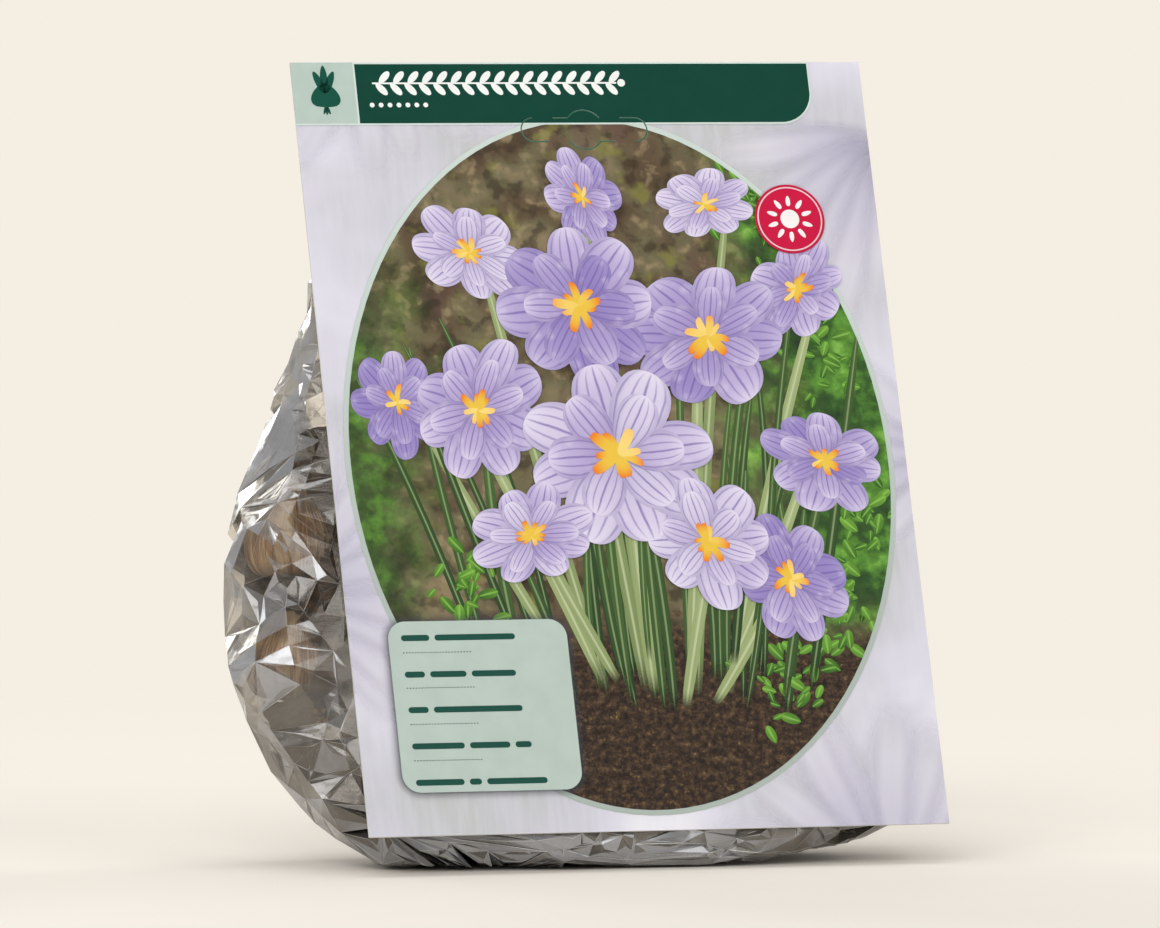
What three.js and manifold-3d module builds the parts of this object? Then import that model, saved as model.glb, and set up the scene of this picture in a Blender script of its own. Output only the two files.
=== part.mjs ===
// A carded bag of crocus corms: a printed card with a die-cut hanging slot, and behind it a clear
// film bag that holds twelve corms bedded in dry peat. The bag stands on its flattened bottom and
// the card leans back on it. Millimetres, +Z up. The card faces -Y, and the origin is under the
// middle of the whole pack, on the surface that it stands on.

import * as THREE from 'three';
import { mergeVertices } from 'three/addons/utils/BufferGeometryUtils.js';
import Module from 'manifold-3d';

const wasm = await Module();
wasm.setup();

// ---- Driving dimensions ------------------------------------------------------------------------

const CARD_WIDTH = 145;
const CARD_HEIGHT = 195;
const CARD_THICKNESS = 0.6;
const CARD_LEAN = THREE.MathUtils.degToRad(20.7);
const CARD_FOOT = 9.5; // height of the card's lower edge above the surface

// The hanging slot is die-cut, and its tab is still held in place by four uncut nicks.
const SLOT_WIDTH = 32;
const SLOT_HEIGHT = 6;
const SLOT_EYE = 10;
const SLOT_CENTRE = 177.5; // up the card, from its lower edge
const SLIT = 0.35;
const NICK = 1.5;

// The bag, by its height above the surface. Each row of a profile is [height, size].
const BAG_TOP = 167;
const SEAL_FOOT = 155; // from here up, the two walls are welded into one flat band
const SEAL_THICKNESS = 1.2;
const BAG_DEPTH = [[0, 44], [5, 54.7], [15, 57], [30, 55], [50, 52], [70, 48.5], [85, 44],
  [100, 36.5], [115, 28], [130, 18], [141, 10.4], [SEAL_FOOT, SEAL_THICKNESS]];
const BAG_FRONT = [[0, 7], [2.5, 3.5], [6, 1.8], [CARD_FOOT, 1.7]]; // below the card's edge
// How far the bag's sides reach past the card's sides: at the back on the left and on the right,
// and where they meet the card.
const FLARE_LEFT = [[0, -21], [2.5, -9], [8, 4], [15, 12], [28, 21], [45, 26.5], [65, 29], [80, 25],
  [100, 15.2], [120, 6.2], [141, -2], [SEAL_FOOT, -6.5], [BAG_TOP, -7]];
const FLARE_RIGHT = [[0, -14], [3, -6], [10, 3], [20, 8.5], [40, 14], [65, 16], [85, 13.5],
  [100, 8.5], [120, 1.5], [141, -5], [SEAL_FOOT, -6.5], [BAG_TOP, -7]];
const FLARE_FRONT = [[0, -12], [4, -7], [12, -4]];
// The bag's section is a rounded box: 1 would be an ellipse, and 0 a box with sharp corners.
const ROUNDNESS_LOW = 0.62;
const ROUNDNESS_HIGH = 0.45;
const RIGHT_LIFT = 8; // the right end of the bottom curls up off the surface
const LIFT_START = 14;
const LIFT_CURVE = 1.5;
const LIFT_FADE = 26;

const WALL = 0.6;
const GAP = 0.3; // between pieces that touch
const GLUE_THICKNESS = 0.4;
const GLUE_WIDTH = 118;
const GLUE_HEIGHT = 7;
const GLUE_HEIGHTS = [22, 88, 158]; // up the card, from its lower edge

const VENT = 5; // diameter of the air holes punched through the back wall
const VENT_ROWS = [118, 134];
const VENT_COLUMNS = [-36, 0, 36];
const VENT_PUNCH = 16; // length of the punch that cuts them

const CORM_WIDTH = 27;
const CORM_BODY = 20; // height without the neck
const CORM_NECK = 6;
const NECK_RADIUS = 6.5;
const CORM_CLEARANCE = 2.4; // between a corm and the film
const CORM_BULGE = 2.6; // how far a corm pushes the film out
// Five corms lie on the bottom in a zigzag, and seven lie against the film in two layers above
// them, spread evenly round the bag from just behind the card to just behind it again.
const FLOOR_ROW = { height: 12.3, count: 5, left: -54, right: 46, front: 23, back: 46 };
const WALL_LAYERS = [
  { height: 47, count: 4, margin: 22 },
  { height: 76, count: 3, margin: 20 },
];
const FILM_EASE = 0.7; // how softly the film leaves a corm
const SEAT_DEPTH = CORM_WIDTH / 2 + CORM_CLEARANCE + WALL - CORM_BULGE;
const CORM_LEAN = 0.6; // the most that a corm's axis leans from upright, in radians

const PEAT_INSET = 4; // from the outside of the film
const PEAT_TOP = 103;
const PEAT_MOUND = 5;

// The film's folds are drawn on the wall rolled out flat. Across is the way round, from the middle
// of the card's side over the right side, the back and the left side, and up is the height.
const ROLLED_OUT = 360;
const ROLL_WIDTH = 36; // sizes of the oval that the wall is rolled out from
const ROLL_DEPTH = 28;
const ROLL_TOP = 158;
// Its facets are the triangles between rows of corners. Each row lies half a column further on,
// and every corner is moved about, and stands out or lies back, at random.
const FACET_COLUMNS = 20;
const FACET_RISE = 17;
const FACET_ROWS = 11;
const FACET_DRIFT = 0.3; // of the spacing
const FACET_DEPTH = 3;
// The long folds of the left side: across, up, and how far each place stands out.
const LONG_FOLDS = [
  [[276, 141, 0.6], [286, 124, 1.8], [279, 107, 1.8], [277, 90, 2], [273, 79, 1.4]],
  [[250, 88, 0.4], [264, 82, -1.6], [273, 79, 1.4]],
  [[254, 113, 0.8], [279, 107, 1.8]],
  [[253, 74, 0.8], [264, 67, 1.6], [275, 62, 1.4]],
  [[286, 60, -1.4], [275, 62, 1.4], [277, 53, 1.6], [277, 44, 1.4], [285, 38, -0.8]],
  [[252, 54, 0.8], [263, 40, 1.8], [268, 29, 1.8], [274, 17, 0.8]],
  [[254, 36, 0.2], [260, 32, 1.2], [268, 29, 1.8]],
  [[256, 22, 0.8], [264, 16, -1.2], [273, 9, 1]],
  [[284, 30, 1.4], [288, 20, -1], [288, 11, 0.8]],
  [[268, 58, -1.8], [270, 49, -1.6]],
];
const LONG_FOLD_REACH = 8; // to each side of its line
const CALM_SIDE = [236, 256]; // the facets' corners get lower here, and stay low up to the card
const CALM = 0.35;
const CRUMPLE_START = [3, 22]; // the folds fade in between these heights
const CRUMPLE_END = [138, 151];
const SEED = 11;

const ARC_STEPS = 8;
const BAG_SIDES = 60;
const BAG_STEPS = 32;
const PEAT_SIDES = 32;
const PEAT_STEPS = 10;
const CORM_SIDES = 16;
const CORM_STEPS = 10;
const VENT_SIDES = 12;
const STEP_CROWDING = 1.25; // steps crowd towards the bottom of the bag

// ---- Materials ---------------------------------------------------------------------------------

const cardMaterial = new THREE.MeshStandardMaterial({ color: 0xdcdae4, roughness: 0.4 });
const filmMaterial = new THREE.MeshStandardMaterial({ color: 0xa5a4a8, roughness: 0.15 });
const cormMaterial = new THREE.MeshStandardMaterial({ color: 0xa89d91, roughness: 0.8 });
const peatMaterial = new THREE.MeshStandardMaterial({ color: 0x5d4f42, roughness: 1 });
const glueMaterial = new THREE.MeshStandardMaterial({ color: 0xe6e2d6, roughness: 0.5 });

// ---- Helpers -----------------------------------------------------------------------------------

function seededRandom(seed) {
  let state = seed;
  return () => {
    state = (state + 0x6d2b79f5) | 0;
    let mixed = Math.imul(state ^ (state >>> 15), 1 | state);
    mixed = (mixed + Math.imul(mixed ^ (mixed >>> 7), 61 | mixed)) ^ mixed;
    return ((mixed ^ (mixed >>> 14)) >>> 0) / 4294967296;
  };
}

// Reads a size between the rows of a profile, eased so that the outline has no corners.
function along(profile, height) {
  const last = profile.length - 1;
  if (height <= profile[0][0]) return profile[0][1];
  if (height >= profile[last][0]) return profile[last][1];
  const row = profile.findIndex(([h]) => h > height) - 1;
  const at = (i) => profile[Math.min(Math.max(i, 0), last)];
  const slope = (i) => (at(i + 1)[1] - at(i - 1)[1]) / (at(i + 1)[0] - at(i - 1)[0]);
  const span = at(row + 1)[0] - at(row)[0];
  const t = (height - at(row)[0]) / span;
  const rise = at(row + 1)[1] - at(row)[1];
  const start = slope(row) * span;
  const end = slope(row + 1) * span;
  return at(row)[1] + t * (start + t * (3 * rise - 2 * start - end + t * (start + end - 2 * rise)));
}

const smooth = (edge0, edge1, value) => THREE.MathUtils.smoothstep(value, edge0, edge1);

function closedMesh(geometry) {
  geometry.deleteAttribute('normal');
  geometry.deleteAttribute('uv');
  return mergeVertices(geometry, 1e-4);
}

function toSolid(geometry) {
  const merged = closedMesh(geometry);
  return new wasm.Manifold(new wasm.Mesh({
    numProp: 3,
    vertProperties: new Float32Array(merged.attributes.position.array),
    triVerts: new Uint32Array(merged.index.array),
  }));
}

function toGeometry(solid) {
  const mesh = solid.getMesh();
  const geometry = new THREE.BufferGeometry();
  geometry.setAttribute('position', new THREE.BufferAttribute(mesh.vertProperties, 3));
  geometry.setIndex(new THREE.BufferAttribute(mesh.triVerts, 1));
  geometry.computeVertexNormals();
  return geometry;
}

function namedMesh(name, geometry, material) {
  const mesh = new THREE.Mesh(geometry, material);
  mesh.name = name;
  return mesh;
}

// ---- The bag's surface -------------------------------------------------------------------------

const random = seededRandom(SEED);

// A number from 0 to 1 that looks random, and is the same each time for the same corner and use.
function chance(column, row, use) {
  const value = 43758.5453 * Math.sin(12.9898 * column + 78.233 * row + 37.719 * use);
  return value - Math.floor(value);
}

// The facets, as a sheet whose height is read by a ray. Its columns go on past both ends of the
// rolled-out wall, because its rows lean.
function facetSheet() {
  const columns = FACET_COLUMNS + FACET_ROWS;
  const geometry = new THREE.PlaneGeometry(columns, FACET_ROWS, columns, FACET_ROWS);
  const position = geometry.attributes.position;
  for (let i = 0; i < position.count; i += 1) {
    const column = Math.round(position.getX(i) + columns / 2);
    const row = Math.round(position.getY(i) + FACET_ROWS / 2);
    const corner = [column % FACET_COLUMNS, row];
    const [aside, upward, out] = [0, 1, 2].map((use) => 2 * chance(...corner, use) - 1);
    const across = column - row / 2 + FACET_DRIFT * aside;
    const up = row - 1 + FACET_DRIFT * upward;
    position.setXYZ(i, across * ROLLED_OUT / FACET_COLUMNS, up * FACET_RISE, FACET_DEPTH * out);
  }
  return new THREE.Mesh(geometry);
}

const facets = facetSheet();
const ray = new THREE.Raycaster();
const flat = ([across, up]) => new THREE.Vector3(across, up, 0);
const longFolds = LONG_FOLDS.flatMap((places) => places.slice(1).map((end, i) => (
  { line: new THREE.Line3(flat(places[i]), flat(end)), depths: [places[i][2], end[2]] })));

// How far the film stands out at a place of the rolled-out wall.
function fold(across, up) {
  ray.set(new THREE.Vector3(across, up, 2 * FACET_DEPTH), new THREE.Vector3(0, 0, -1));
  const [facet] = ray.intersectObject(facets);
  const calm = THREE.MathUtils.lerp(1, CALM, smooth(...CALM_SIDE, across));
  let depth = calm * (facet ? facet.point.z : 0);
  const place = new THREE.Vector3(across, up, 0);
  const nearest = new THREE.Vector3();
  for (const { line, depths } of longFolds) {
    const share = line.closestPointToPointParameter(place, true);
    const apart = line.at(share, nearest).distanceTo(place);
    const held = Math.max(0, 1 - apart / LONG_FOLD_REACH);
    depth = THREE.MathUtils.lerp(depth, THREE.MathUtils.lerp(...depths, share), held);
  }
  return depth;
}

const cardBack = (height) => (height - CARD_FOOT) * Math.tan(CARD_LEAN)
  + CARD_THICKNESS / Math.cos(CARD_LEAN);

function bagFront(height) {
  const standOff = (GLUE_THICKNESS + 2 * GAP) / Math.cos(CARD_LEAN);
  if (height > CARD_FOOT) return cardBack(height) + standOff;
  return along(BAG_FRONT, height);
}

const bagBack = (height) => bagFront(height) + along(BAG_DEPTH, height);

const liftAt = (x, height) => RIGHT_LIFT
  * Math.max(0, (x - LIFT_START) / (CARD_WIDTH / 2 - LIFT_START)) ** LIFT_CURVE
  * (1 - smooth(0, LIFT_FADE, height));

// The way round to a place on the wall, by its angle in an oval that gets shallower upwards.
function rolledOut(x, y, height) {
  const depth = ROLL_DEPTH * Math.sqrt(Math.max(1 - height / ROLL_TOP, 0.01));
  const angle = Math.atan2(x / ROLL_WIDTH, (cardBack(height) + depth - y) / depth);
  return ROLLED_OUT * ((angle / (2 * Math.PI) + 1) % 1);
}

// A point of the bag's wall, before any corm pushes it out. The turn goes round from the card (0)
// over the right side (0.25) and the back (0.5) to the left side (0.75).
function plainWall(turn, height, inset) {
  const angle = 2 * Math.PI * turn;
  const rising = smooth(0, SEAL_FOOT, height);
  const roundness = THREE.MathUtils.lerp(ROUNDNESS_LOW, ROUNDNESS_HIGH, rising);
  const power = (value) => Math.sign(value) * Math.abs(value) ** roundness;
  const side = power(Math.sin(angle));
  const depth = (1 - power(Math.cos(angle))) / 2;
  const front = bagFront(height) + inset;
  const back = Math.max(bagBack(height) - inset, front + 0.01);
  const flareBack = along(side > 0 ? FLARE_RIGHT : FLARE_LEFT, height);
  const flare = THREE.MathUtils.lerp(along(FLARE_FRONT, height), flareBack, depth ** 0.8);
  const x = side * (CARD_WIDTH / 2 + flare - inset);
  const point = new THREE.Vector3(x, front + depth * (back - front), height);
  const free = smooth(...CRUMPLE_START, height) * (1 - smooth(...CRUMPLE_END, height));
  const outward = new THREE.Vector3(side, power(-Math.cos(angle)), 0).normalize();
  const up = height + liftAt(x, height);
  const folds = fold(rolledOut(x, point.y, up), up) * Math.sqrt(depth);
  point.addScaledVector(outward, free * folds);
  return point;
}

// Turns that lie evenly along the wall at one height, all round but for the card's side.
function spreadTurns({ height, count, margin }) {
  const samples = 240;
  const walk = [{ turn: 0, length: 0 }];
  let last = plainWall(0, height, SEAT_DEPTH);
  for (let i = 1; i <= samples; i += 1) {
    const next = plainWall(i / samples, height, SEAT_DEPTH);
    walk.push({ turn: i / samples, length: walk[i - 1].length + next.distanceTo(last) });
    last = next;
  }
  const total = walk[samples].length;
  const start = plainWall(0, height, SEAT_DEPTH).distanceTo(plainWall(0.2, height, SEAT_DEPTH));
  return Array.from({ length: count }, (_, i) => {
    const place = THREE.MathUtils.lerp(start + margin, total - start - margin, i / (count - 1));
    return walk.find(({ length }) => length >= place).turn;
  });
}

function floorSeats() {
  const { height, count, left, right, front, back } = FLOOR_ROW;
  return Array.from({ length: count }, (_, i) => {
    const x = THREE.MathUtils.lerp(left, right, i / (count - 1));
    const seat = new THREE.Vector3(x, i % 2 ? back : front, height + liftAt(x, 0));
    return { seat, facing: random() * Math.PI };
  });
}

function wallSeats(layer) {
  return spreadTurns(layer).map((turn) => {
    const seat = plainWall(turn, layer.height, SEAT_DEPTH);
    const outward = plainWall(turn, layer.height, 0).sub(seat);
    seat.z += liftAt(seat.x, seat.z);
    return { seat, facing: Math.atan2(outward.y, outward.x) };
  });
}

// A corm stands more or less upright, leaning sideways along the film that it faces.
function placeCorms() {
  return [...floorSeats(), ...WALL_LAYERS.flatMap(wallSeats)].map(({ seat, facing }) => {
    const axis = new THREE.Vector3(Math.cos(facing), Math.sin(facing), 0);
    return {
      centre: seat,
      tilt: new THREE.Quaternion().setFromAxisAngle(axis, CORM_LEAN * (2 * random() - 1)),
      size: 0.94 + 0.06 * random(),
      lobes: 5 + Math.floor(3 * random()),
    };
  });
}

const corms = placeCorms();

// The two round forms of each corm that the film lies over: its body and its neck.
const bulks = corms.flatMap(({ centre, tilt, size }) => {
  const neck = new THREE.Vector3(0, 0, size * (0.6 * CORM_BODY + CORM_NECK) - NECK_RADIUS);
  return [
    { centre, radius: size * CORM_WIDTH / 2 },
    { centre: neck.applyQuaternion(tilt).add(centre), radius: NECK_RADIUS },
  ];
});

// The film lies over the corms: where one stands out, it lifts the film clear of itself.
function wall(turn, height, inset) {
  const point = plainWall(turn, height, inset);
  point.z += liftAt(point.x, height);
  for (const { centre, radius } of bulks) {
    const bed = radius + CORM_CLEARANCE + WALL - inset;
    const outward = point.clone().sub(centre);
    const reach = outward.length();
    const over = bed - reach;
    const lifted = reach + FILM_EASE * Math.log1p(Math.exp(over / FILM_EASE));
    point.addScaledVector(outward, lifted / reach - 1);
  }
  point.z = Math.max(point.z, height > 0.5 * BAG_TOP ? 0 : inset);
  return point;
}

// A closed solid between two heights of the bag, set in from the outside of its wall. It is a
// cylinder whose rings take the bag's outline.
function bagSolid(surface, inset, [bottom, top], [sides, steps], mound = 0) {
  const geometry = new THREE.CylinderGeometry(1, 1, 1, sides, steps);
  const position = geometry.attributes.position;
  const corner = new THREE.Vector3();
  for (let i = 0; i < position.count; i += 1) {
    corner.fromBufferAttribute(position, i);
    const radius = Math.hypot(corner.x, corner.z);
    const turn = (Math.atan2(corner.x, corner.z) / (2 * Math.PI) + 1) % 1;
    const share = corner.y + 0.5;
    const height = THREE.MathUtils.lerp(bottom, top, share ** STEP_CROWDING);
    const middle = surface(0, height, inset).lerp(surface(0.5, height, inset), 0.5);
    const point = radius > 0.5 ? surface(turn, height, inset) : middle;
    if (radius < 0.5 && share > 0.5) point.z += mound;
    position.setXYZ(i, point.x, point.y, point.z);
  }
  return toSolid(geometry);
}

// ---- Pieces ------------------------------------------------------------------------------------

// The slot is flat with round ends and has a round eye in its middle. Its cut runs in four slits:
// over and under the eye, and round the two ends, each up to the nick in the straight stretch.
function slotCuts() {
  const rise = SLOT_HEIGHT / 2;
  const eye = SLOT_EYE / 2;
  const end = SLOT_WIDTH / 2 - rise;
  const meet = Math.asin(rise / eye);
  const nick = (eye * Math.cos(meet) + end) / 2;
  const cuts = [];
  for (const turned of [0, Math.PI]) {
    const overEye = new THREE.Path();
    overEye.moveTo(nick - NICK / 2, rise);
    overEye.absarc(0, 0, eye, meet, Math.PI - meet, false);
    overEye.lineTo(NICK / 2 - nick, rise);
    const roundEnd = new THREE.Path();
    roundEnd.moveTo(-nick - NICK / 2, rise);
    roundEnd.absarc(-end, 0, rise, Math.PI / 2, 1.5 * Math.PI, false);
    roundEnd.lineTo(-nick - NICK / 2, -rise);
    for (const cut of [overEye, roundEnd]) {
      const turn = (point) => point.rotateAround(new THREE.Vector2(), turned);
      cuts.push(cut.getPoints(ARC_STEPS).map(turn));
    }
  }
  return cuts;
}

// A thin closed loop along a cut, half its width to either side.
function slitAlong(cut) {
  const near = [];
  const far = [];
  cut.forEach((point, i) => {
    const before = point.clone().sub(cut[Math.max(i - 1, 0)]).normalize();
    const after = cut[Math.min(i + 1, cut.length - 1)].clone().sub(point).normalize();
    const onward = before.clone().add(after).normalize();
    const mitre = Math.max(onward.dot(before), onward.dot(after));
    const across = new THREE.Vector2(-onward.y, onward.x).multiplyScalar(SLIT / 2 / mitre);
    near.push(point.clone().add(across));
    far.push(point.clone().sub(across));
  });
  return [...near, ...far.reverse()];
}

function cardGeometry() {
  const plate = new THREE.BoxGeometry(CARD_WIDTH, CARD_HEIGHT, CARD_THICKNESS);
  let card = toSolid(plate.translate(0, CARD_HEIGHT / 2, -CARD_THICKNESS / 2));
  for (const cut of slotCuts()) {
    const slit = new THREE.Shape(slitAlong(cut));
    const options = { depth: 3 * CARD_THICKNESS, bevelEnabled: false };
    const blade = new THREE.ExtrudeGeometry(slit, options);
    card = card.subtract(toSolid(blade.translate(0, SLOT_CENTRE, -2 * CARD_THICKNESS)));
  }
  return toGeometry(card);
}

function glueGeometry(heightUpCard) {
  const geometry = new THREE.BoxGeometry(GLUE_WIDTH, GLUE_HEIGHT, GLUE_THICKNESS);
  return geometry.translate(0, heightUpCard, -CARD_THICKNESS - GAP - GLUE_THICKNESS / 2);
}

function ventSolid(x, height) {
  const geometry = new THREE.CylinderGeometry(VENT / 2, VENT / 2, VENT_PUNCH, VENT_SIDES);
  return toSolid(geometry.translate(x, bagBack(height), height));
}

function bagGeometry() {
  const outside = bagSolid(wall, 0, [0, BAG_TOP], [BAG_SIDES, BAG_STEPS]);
  const inside = bagSolid(wall, WALL, [WALL, SEAL_FOOT], [BAG_SIDES, BAG_STEPS]);
  let film = outside.subtract(inside);
  for (const height of VENT_ROWS) {
    for (const x of VENT_COLUMNS) {
      film = film.subtract(ventSolid(x, height));
    }
  }
  return toGeometry(film);
}

// A corm is a flattened ball with a flat base, shallow lobes and a short neck of dry fibres.
function cormSolid({ centre, tilt, size, lobes }, grow = 0) {
  const geometry = new THREE.SphereGeometry(1, CORM_SIDES, CORM_STEPS);
  const position = geometry.attributes.position;
  const corner = new THREE.Vector3();
  for (let i = 0; i < position.count; i += 1) {
    corner.fromBufferAttribute(position, i);
    const lobe = 1 - 0.03 * (1 + Math.cos(lobes * Math.atan2(corner.z, corner.x)));
    const neck = smooth(0.75, 1, corner.y);
    const across = (size * CORM_WIDTH / 2) * lobe + grow;
    const body = size * CORM_BODY * Math.max(corner.y * 0.6, -0.4);
    const upright = body + size * CORM_NECK * neck + grow * Math.sign(corner.y);
    position.setXYZ(i, corner.x * across, -corner.z * across, upright);
  }
  const place = new THREE.Matrix4().makeRotationFromQuaternion(tilt).setPosition(centre);
  return toSolid(geometry.applyMatrix4(place));
}

// The peat keeps the bag's form, without the bulges that the corms make in the film.
function bed(turn, height, inset) {
  const point = plainWall(turn, height, inset);
  point.z += liftAt(point.x, height);
  return point;
}

function peatGeometry() {
  const heights = [PEAT_INSET, PEAT_TOP];
  let peat = bagSolid(bed, PEAT_INSET, heights, [PEAT_SIDES, PEAT_STEPS], PEAT_MOUND);
  for (const corm of corms) {
    peat = peat.subtract(cormSolid(corm, GAP));
  }
  return toGeometry(peat);
}

// ---- Assembly ----------------------------------------------------------------------------------

function leaningCard() {
  const leaning = new THREE.Group();
  leaning.rotation.x = Math.PI / 2 - CARD_LEAN;
  leaning.position.z = CARD_FOOT;
  leaning.add(namedMesh('card', cardGeometry(), cardMaterial));
  GLUE_HEIGHTS.forEach((height, i) => {
    leaning.add(namedMesh(`glue_strip_${i + 1}`, glueGeometry(height), glueMaterial));
  });
  return leaning;
}

const pack = new THREE.Group();
pack.add(leaningCard());
pack.add(namedMesh('bag_film', bagGeometry(), filmMaterial));
pack.add(namedMesh('peat_bed', peatGeometry(), peatMaterial));
corms.forEach((corm, i) => {
  const name = `corm_${String(i + 1).padStart(2, '0')}`;
  pack.add(namedMesh(name, toGeometry(cormSolid(corm)), cormMaterial));
});

// The origin goes under the middle of the pack's own box.
const box = new THREE.Box3().setFromObject(pack);
const middle = box.getCenter(new THREE.Vector3());
pack.position.set(-middle.x, -middle.y, -box.min.z);

export default pack;
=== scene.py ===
# %% [markdown]
# # A carded bag of flower bulbs
#
# This is the kind of pack that hangs on a garden centre's hooks: a printed card, and behind it a
# bag of clear film with twelve corms bedded in dry peat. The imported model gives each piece's size
# and place. Here the pieces get their looks: the print on the card, the crumpled film, the
# fibrous skins of the corms, and the crumbs of the peat.
#
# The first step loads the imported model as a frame. Nothing in it is moved: new pieces are made
# where its nodes are, and stand for them.

# %% Load the frame
import math
import random

import bmesh
import bpy
import numpy as np
from mathutils import Matrix, Vector, noise
from mathutils.bvhtree import BVHTree
from mathutils.geometry import barycentric_transform, delaunay_2d_cdt, intersect_point_line


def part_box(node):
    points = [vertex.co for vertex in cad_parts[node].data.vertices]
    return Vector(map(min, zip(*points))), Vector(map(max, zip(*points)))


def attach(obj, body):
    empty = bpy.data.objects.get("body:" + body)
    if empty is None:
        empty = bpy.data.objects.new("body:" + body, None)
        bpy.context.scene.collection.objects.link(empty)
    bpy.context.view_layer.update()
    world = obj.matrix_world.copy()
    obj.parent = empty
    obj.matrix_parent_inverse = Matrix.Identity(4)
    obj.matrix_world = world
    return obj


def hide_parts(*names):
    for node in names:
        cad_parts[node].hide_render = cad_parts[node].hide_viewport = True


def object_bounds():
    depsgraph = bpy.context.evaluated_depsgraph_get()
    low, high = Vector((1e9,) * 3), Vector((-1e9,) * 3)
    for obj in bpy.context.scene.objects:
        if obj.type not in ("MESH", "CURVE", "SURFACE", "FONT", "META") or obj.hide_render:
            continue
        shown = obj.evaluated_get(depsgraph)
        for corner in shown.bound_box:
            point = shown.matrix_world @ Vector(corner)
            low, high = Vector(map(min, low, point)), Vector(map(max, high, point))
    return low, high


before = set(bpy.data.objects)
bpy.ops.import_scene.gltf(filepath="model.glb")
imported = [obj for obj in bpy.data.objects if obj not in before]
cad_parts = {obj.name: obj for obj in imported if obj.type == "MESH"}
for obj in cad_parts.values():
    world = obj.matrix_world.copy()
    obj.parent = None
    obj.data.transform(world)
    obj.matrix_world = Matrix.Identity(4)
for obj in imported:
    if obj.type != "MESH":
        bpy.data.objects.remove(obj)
CAD_LOW, CAD_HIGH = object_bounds()
MM = 0.001
BODY = "root"
rng = random.Random(7)
print("nodes:", len(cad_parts), "size in mm:", [round(x / MM, 1) for x in CAD_HIGH - CAD_LOW])

# %% [markdown]
# ## Writing materials as sums
#
# A Blender material is a tree of nodes joined by wires. Building one with a call for each Math
# node is hard to read, so a small class wraps an output socket: adding or multiplying two of them
# adds the Math node. Every other node comes from one method, which takes the node's type, its
# settings, and the values or wires of its sockets.

# %% Wires
class Wire:
    """An output socket. Arithmetic on it adds Math nodes to its material."""

    def __init__(self, finish, socket):
        self.finish, self.socket = finish, socket

    def also(self, output):
        """Another output of the same node."""
        return Wire(self.finish, self.socket.node.outputs[output])

    def math(self, operation, *values):
        return self.finish.node("Math", {"operation": operation}, dict(enumerate(values)))

    def __add__(self, other):
        return self.math("ADD", self, other)

    def __sub__(self, other):
        return self.math("SUBTRACT", self, other)

    def __rsub__(self, other):
        return self.math("SUBTRACT", other, self)

    def __mul__(self, other):
        return self.math("MULTIPLY", self, other)

    def __pow__(self, other):
        return self.math("POWER", self, other)

    def __abs__(self):
        return self.math("ABSOLUTE", self)

    __radd__, __rmul__ = __add__, __mul__

    def sine(self):
        return self.math("SINE", self)

    def least(self, other):
        return self.math("MINIMUM", self, other)

    def most(self, other):
        return self.math("MAXIMUM", self, other)

    def rising(self, low, high, bottom=0.0, top=1.0):
        """Eases from bottom to top as this value goes from low to high."""
        settings = {"interpolation_type": "SMOOTHSTEP"}
        sockets = {"Value": self, "From Min": low, "From Max": high}
        sockets.update({"To Min": bottom, "To Max": top})
        return self.finish.node("MapRange", settings, sockets)


# %% Finishes
class Finish:
    """A material and its node tree, or the world and its tree."""

    def __init__(self, name, kind="materials"):
        self.material = getattr(bpy.data, kind).new(name)
        self.material.use_nodes = True
        self.tree = self.material.node_tree
        self.tree.nodes.clear()

    def node(self, kind, settings=None, sockets=None, output=0):
        made = self.tree.nodes.new("ShaderNode" + kind)
        for name, value in (settings or {}).items():
            if name == "stops":
                set_stops(made.color_ramp, value)
            else:
                setattr(made, name, value)
        for name, value in (sockets or {}).items():
            if isinstance(value, Wire):
                self.tree.links.new(value.socket, made.inputs[name])
            else:
                made.inputs[name].default_value = value
        return None if output is None else Wire(self, made.outputs[output])

    def mix(self, first, second, factor):
        """One colour into another. Among a Mix node's sockets 6, 7 and 2 are those for colours."""
        return self.node("Mix", {"data_type": "RGBA"}, {0: factor, 6: first, 7: second}, 2)

    def ramp(self, value, stops):
        return self.node("ValToRGB", {"stops": stops}, {"Fac": value})

    def place(self):
        """Where a point lies on the piece, in metres."""
        return self.node("TexCoord", output="Object")

    def map(self, name):
        return self.node("UVMap", {"uv_map": name})

    def own(self, name, output="Fac"):
        """What the mesh itself notes, under this name, on its corners or faces."""
        return self.node("Attribute", {"attribute_name": name}, None, output)

    def parts(self, vector):
        x = self.node("SeparateXYZ", None, {"Vector": vector})
        return x, x.also(1), x.also(2)

    def stretch(self, vector, scale):
        return self.node("VectorMath", {"operation": "MULTIPLY"}, {0: vector, 1: scale})

    def noise(self, vector, scale, detail=3.0, roughness=0.5, distortion=0.0):
        sockets = {"Vector": vector, "Scale": scale, "Detail": detail, "Roughness": roughness}
        return self.node("TexNoise", None, {**sockets, "Distortion": distortion})

    def bump(self, height, depth, strength=1.0):
        sockets = {"Height": height, "Distance": depth, "Strength": strength}
        return self.node("Bump", None, sockets)

    def shown(self, shader, output="OutputMaterial"):
        self.node(output, None, {"Surface": shader}, None)
        return self.material

    def surface(self, sockets):
        return self.shown(self.node("BsdfPrincipled", None, sockets))

    def film(self, sockets, seen, tint):
        """A surface that shows as much as seen says, over what lies behind it in this tint."""
        skin = self.node("BsdfPrincipled", None, sockets)
        clear = self.node("BsdfTransparent", None, {"Color": (*tint, 1)})
        return self.shown(self.node("MixShader", None, {0: seen, 1: clear, 2: skin}))


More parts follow.
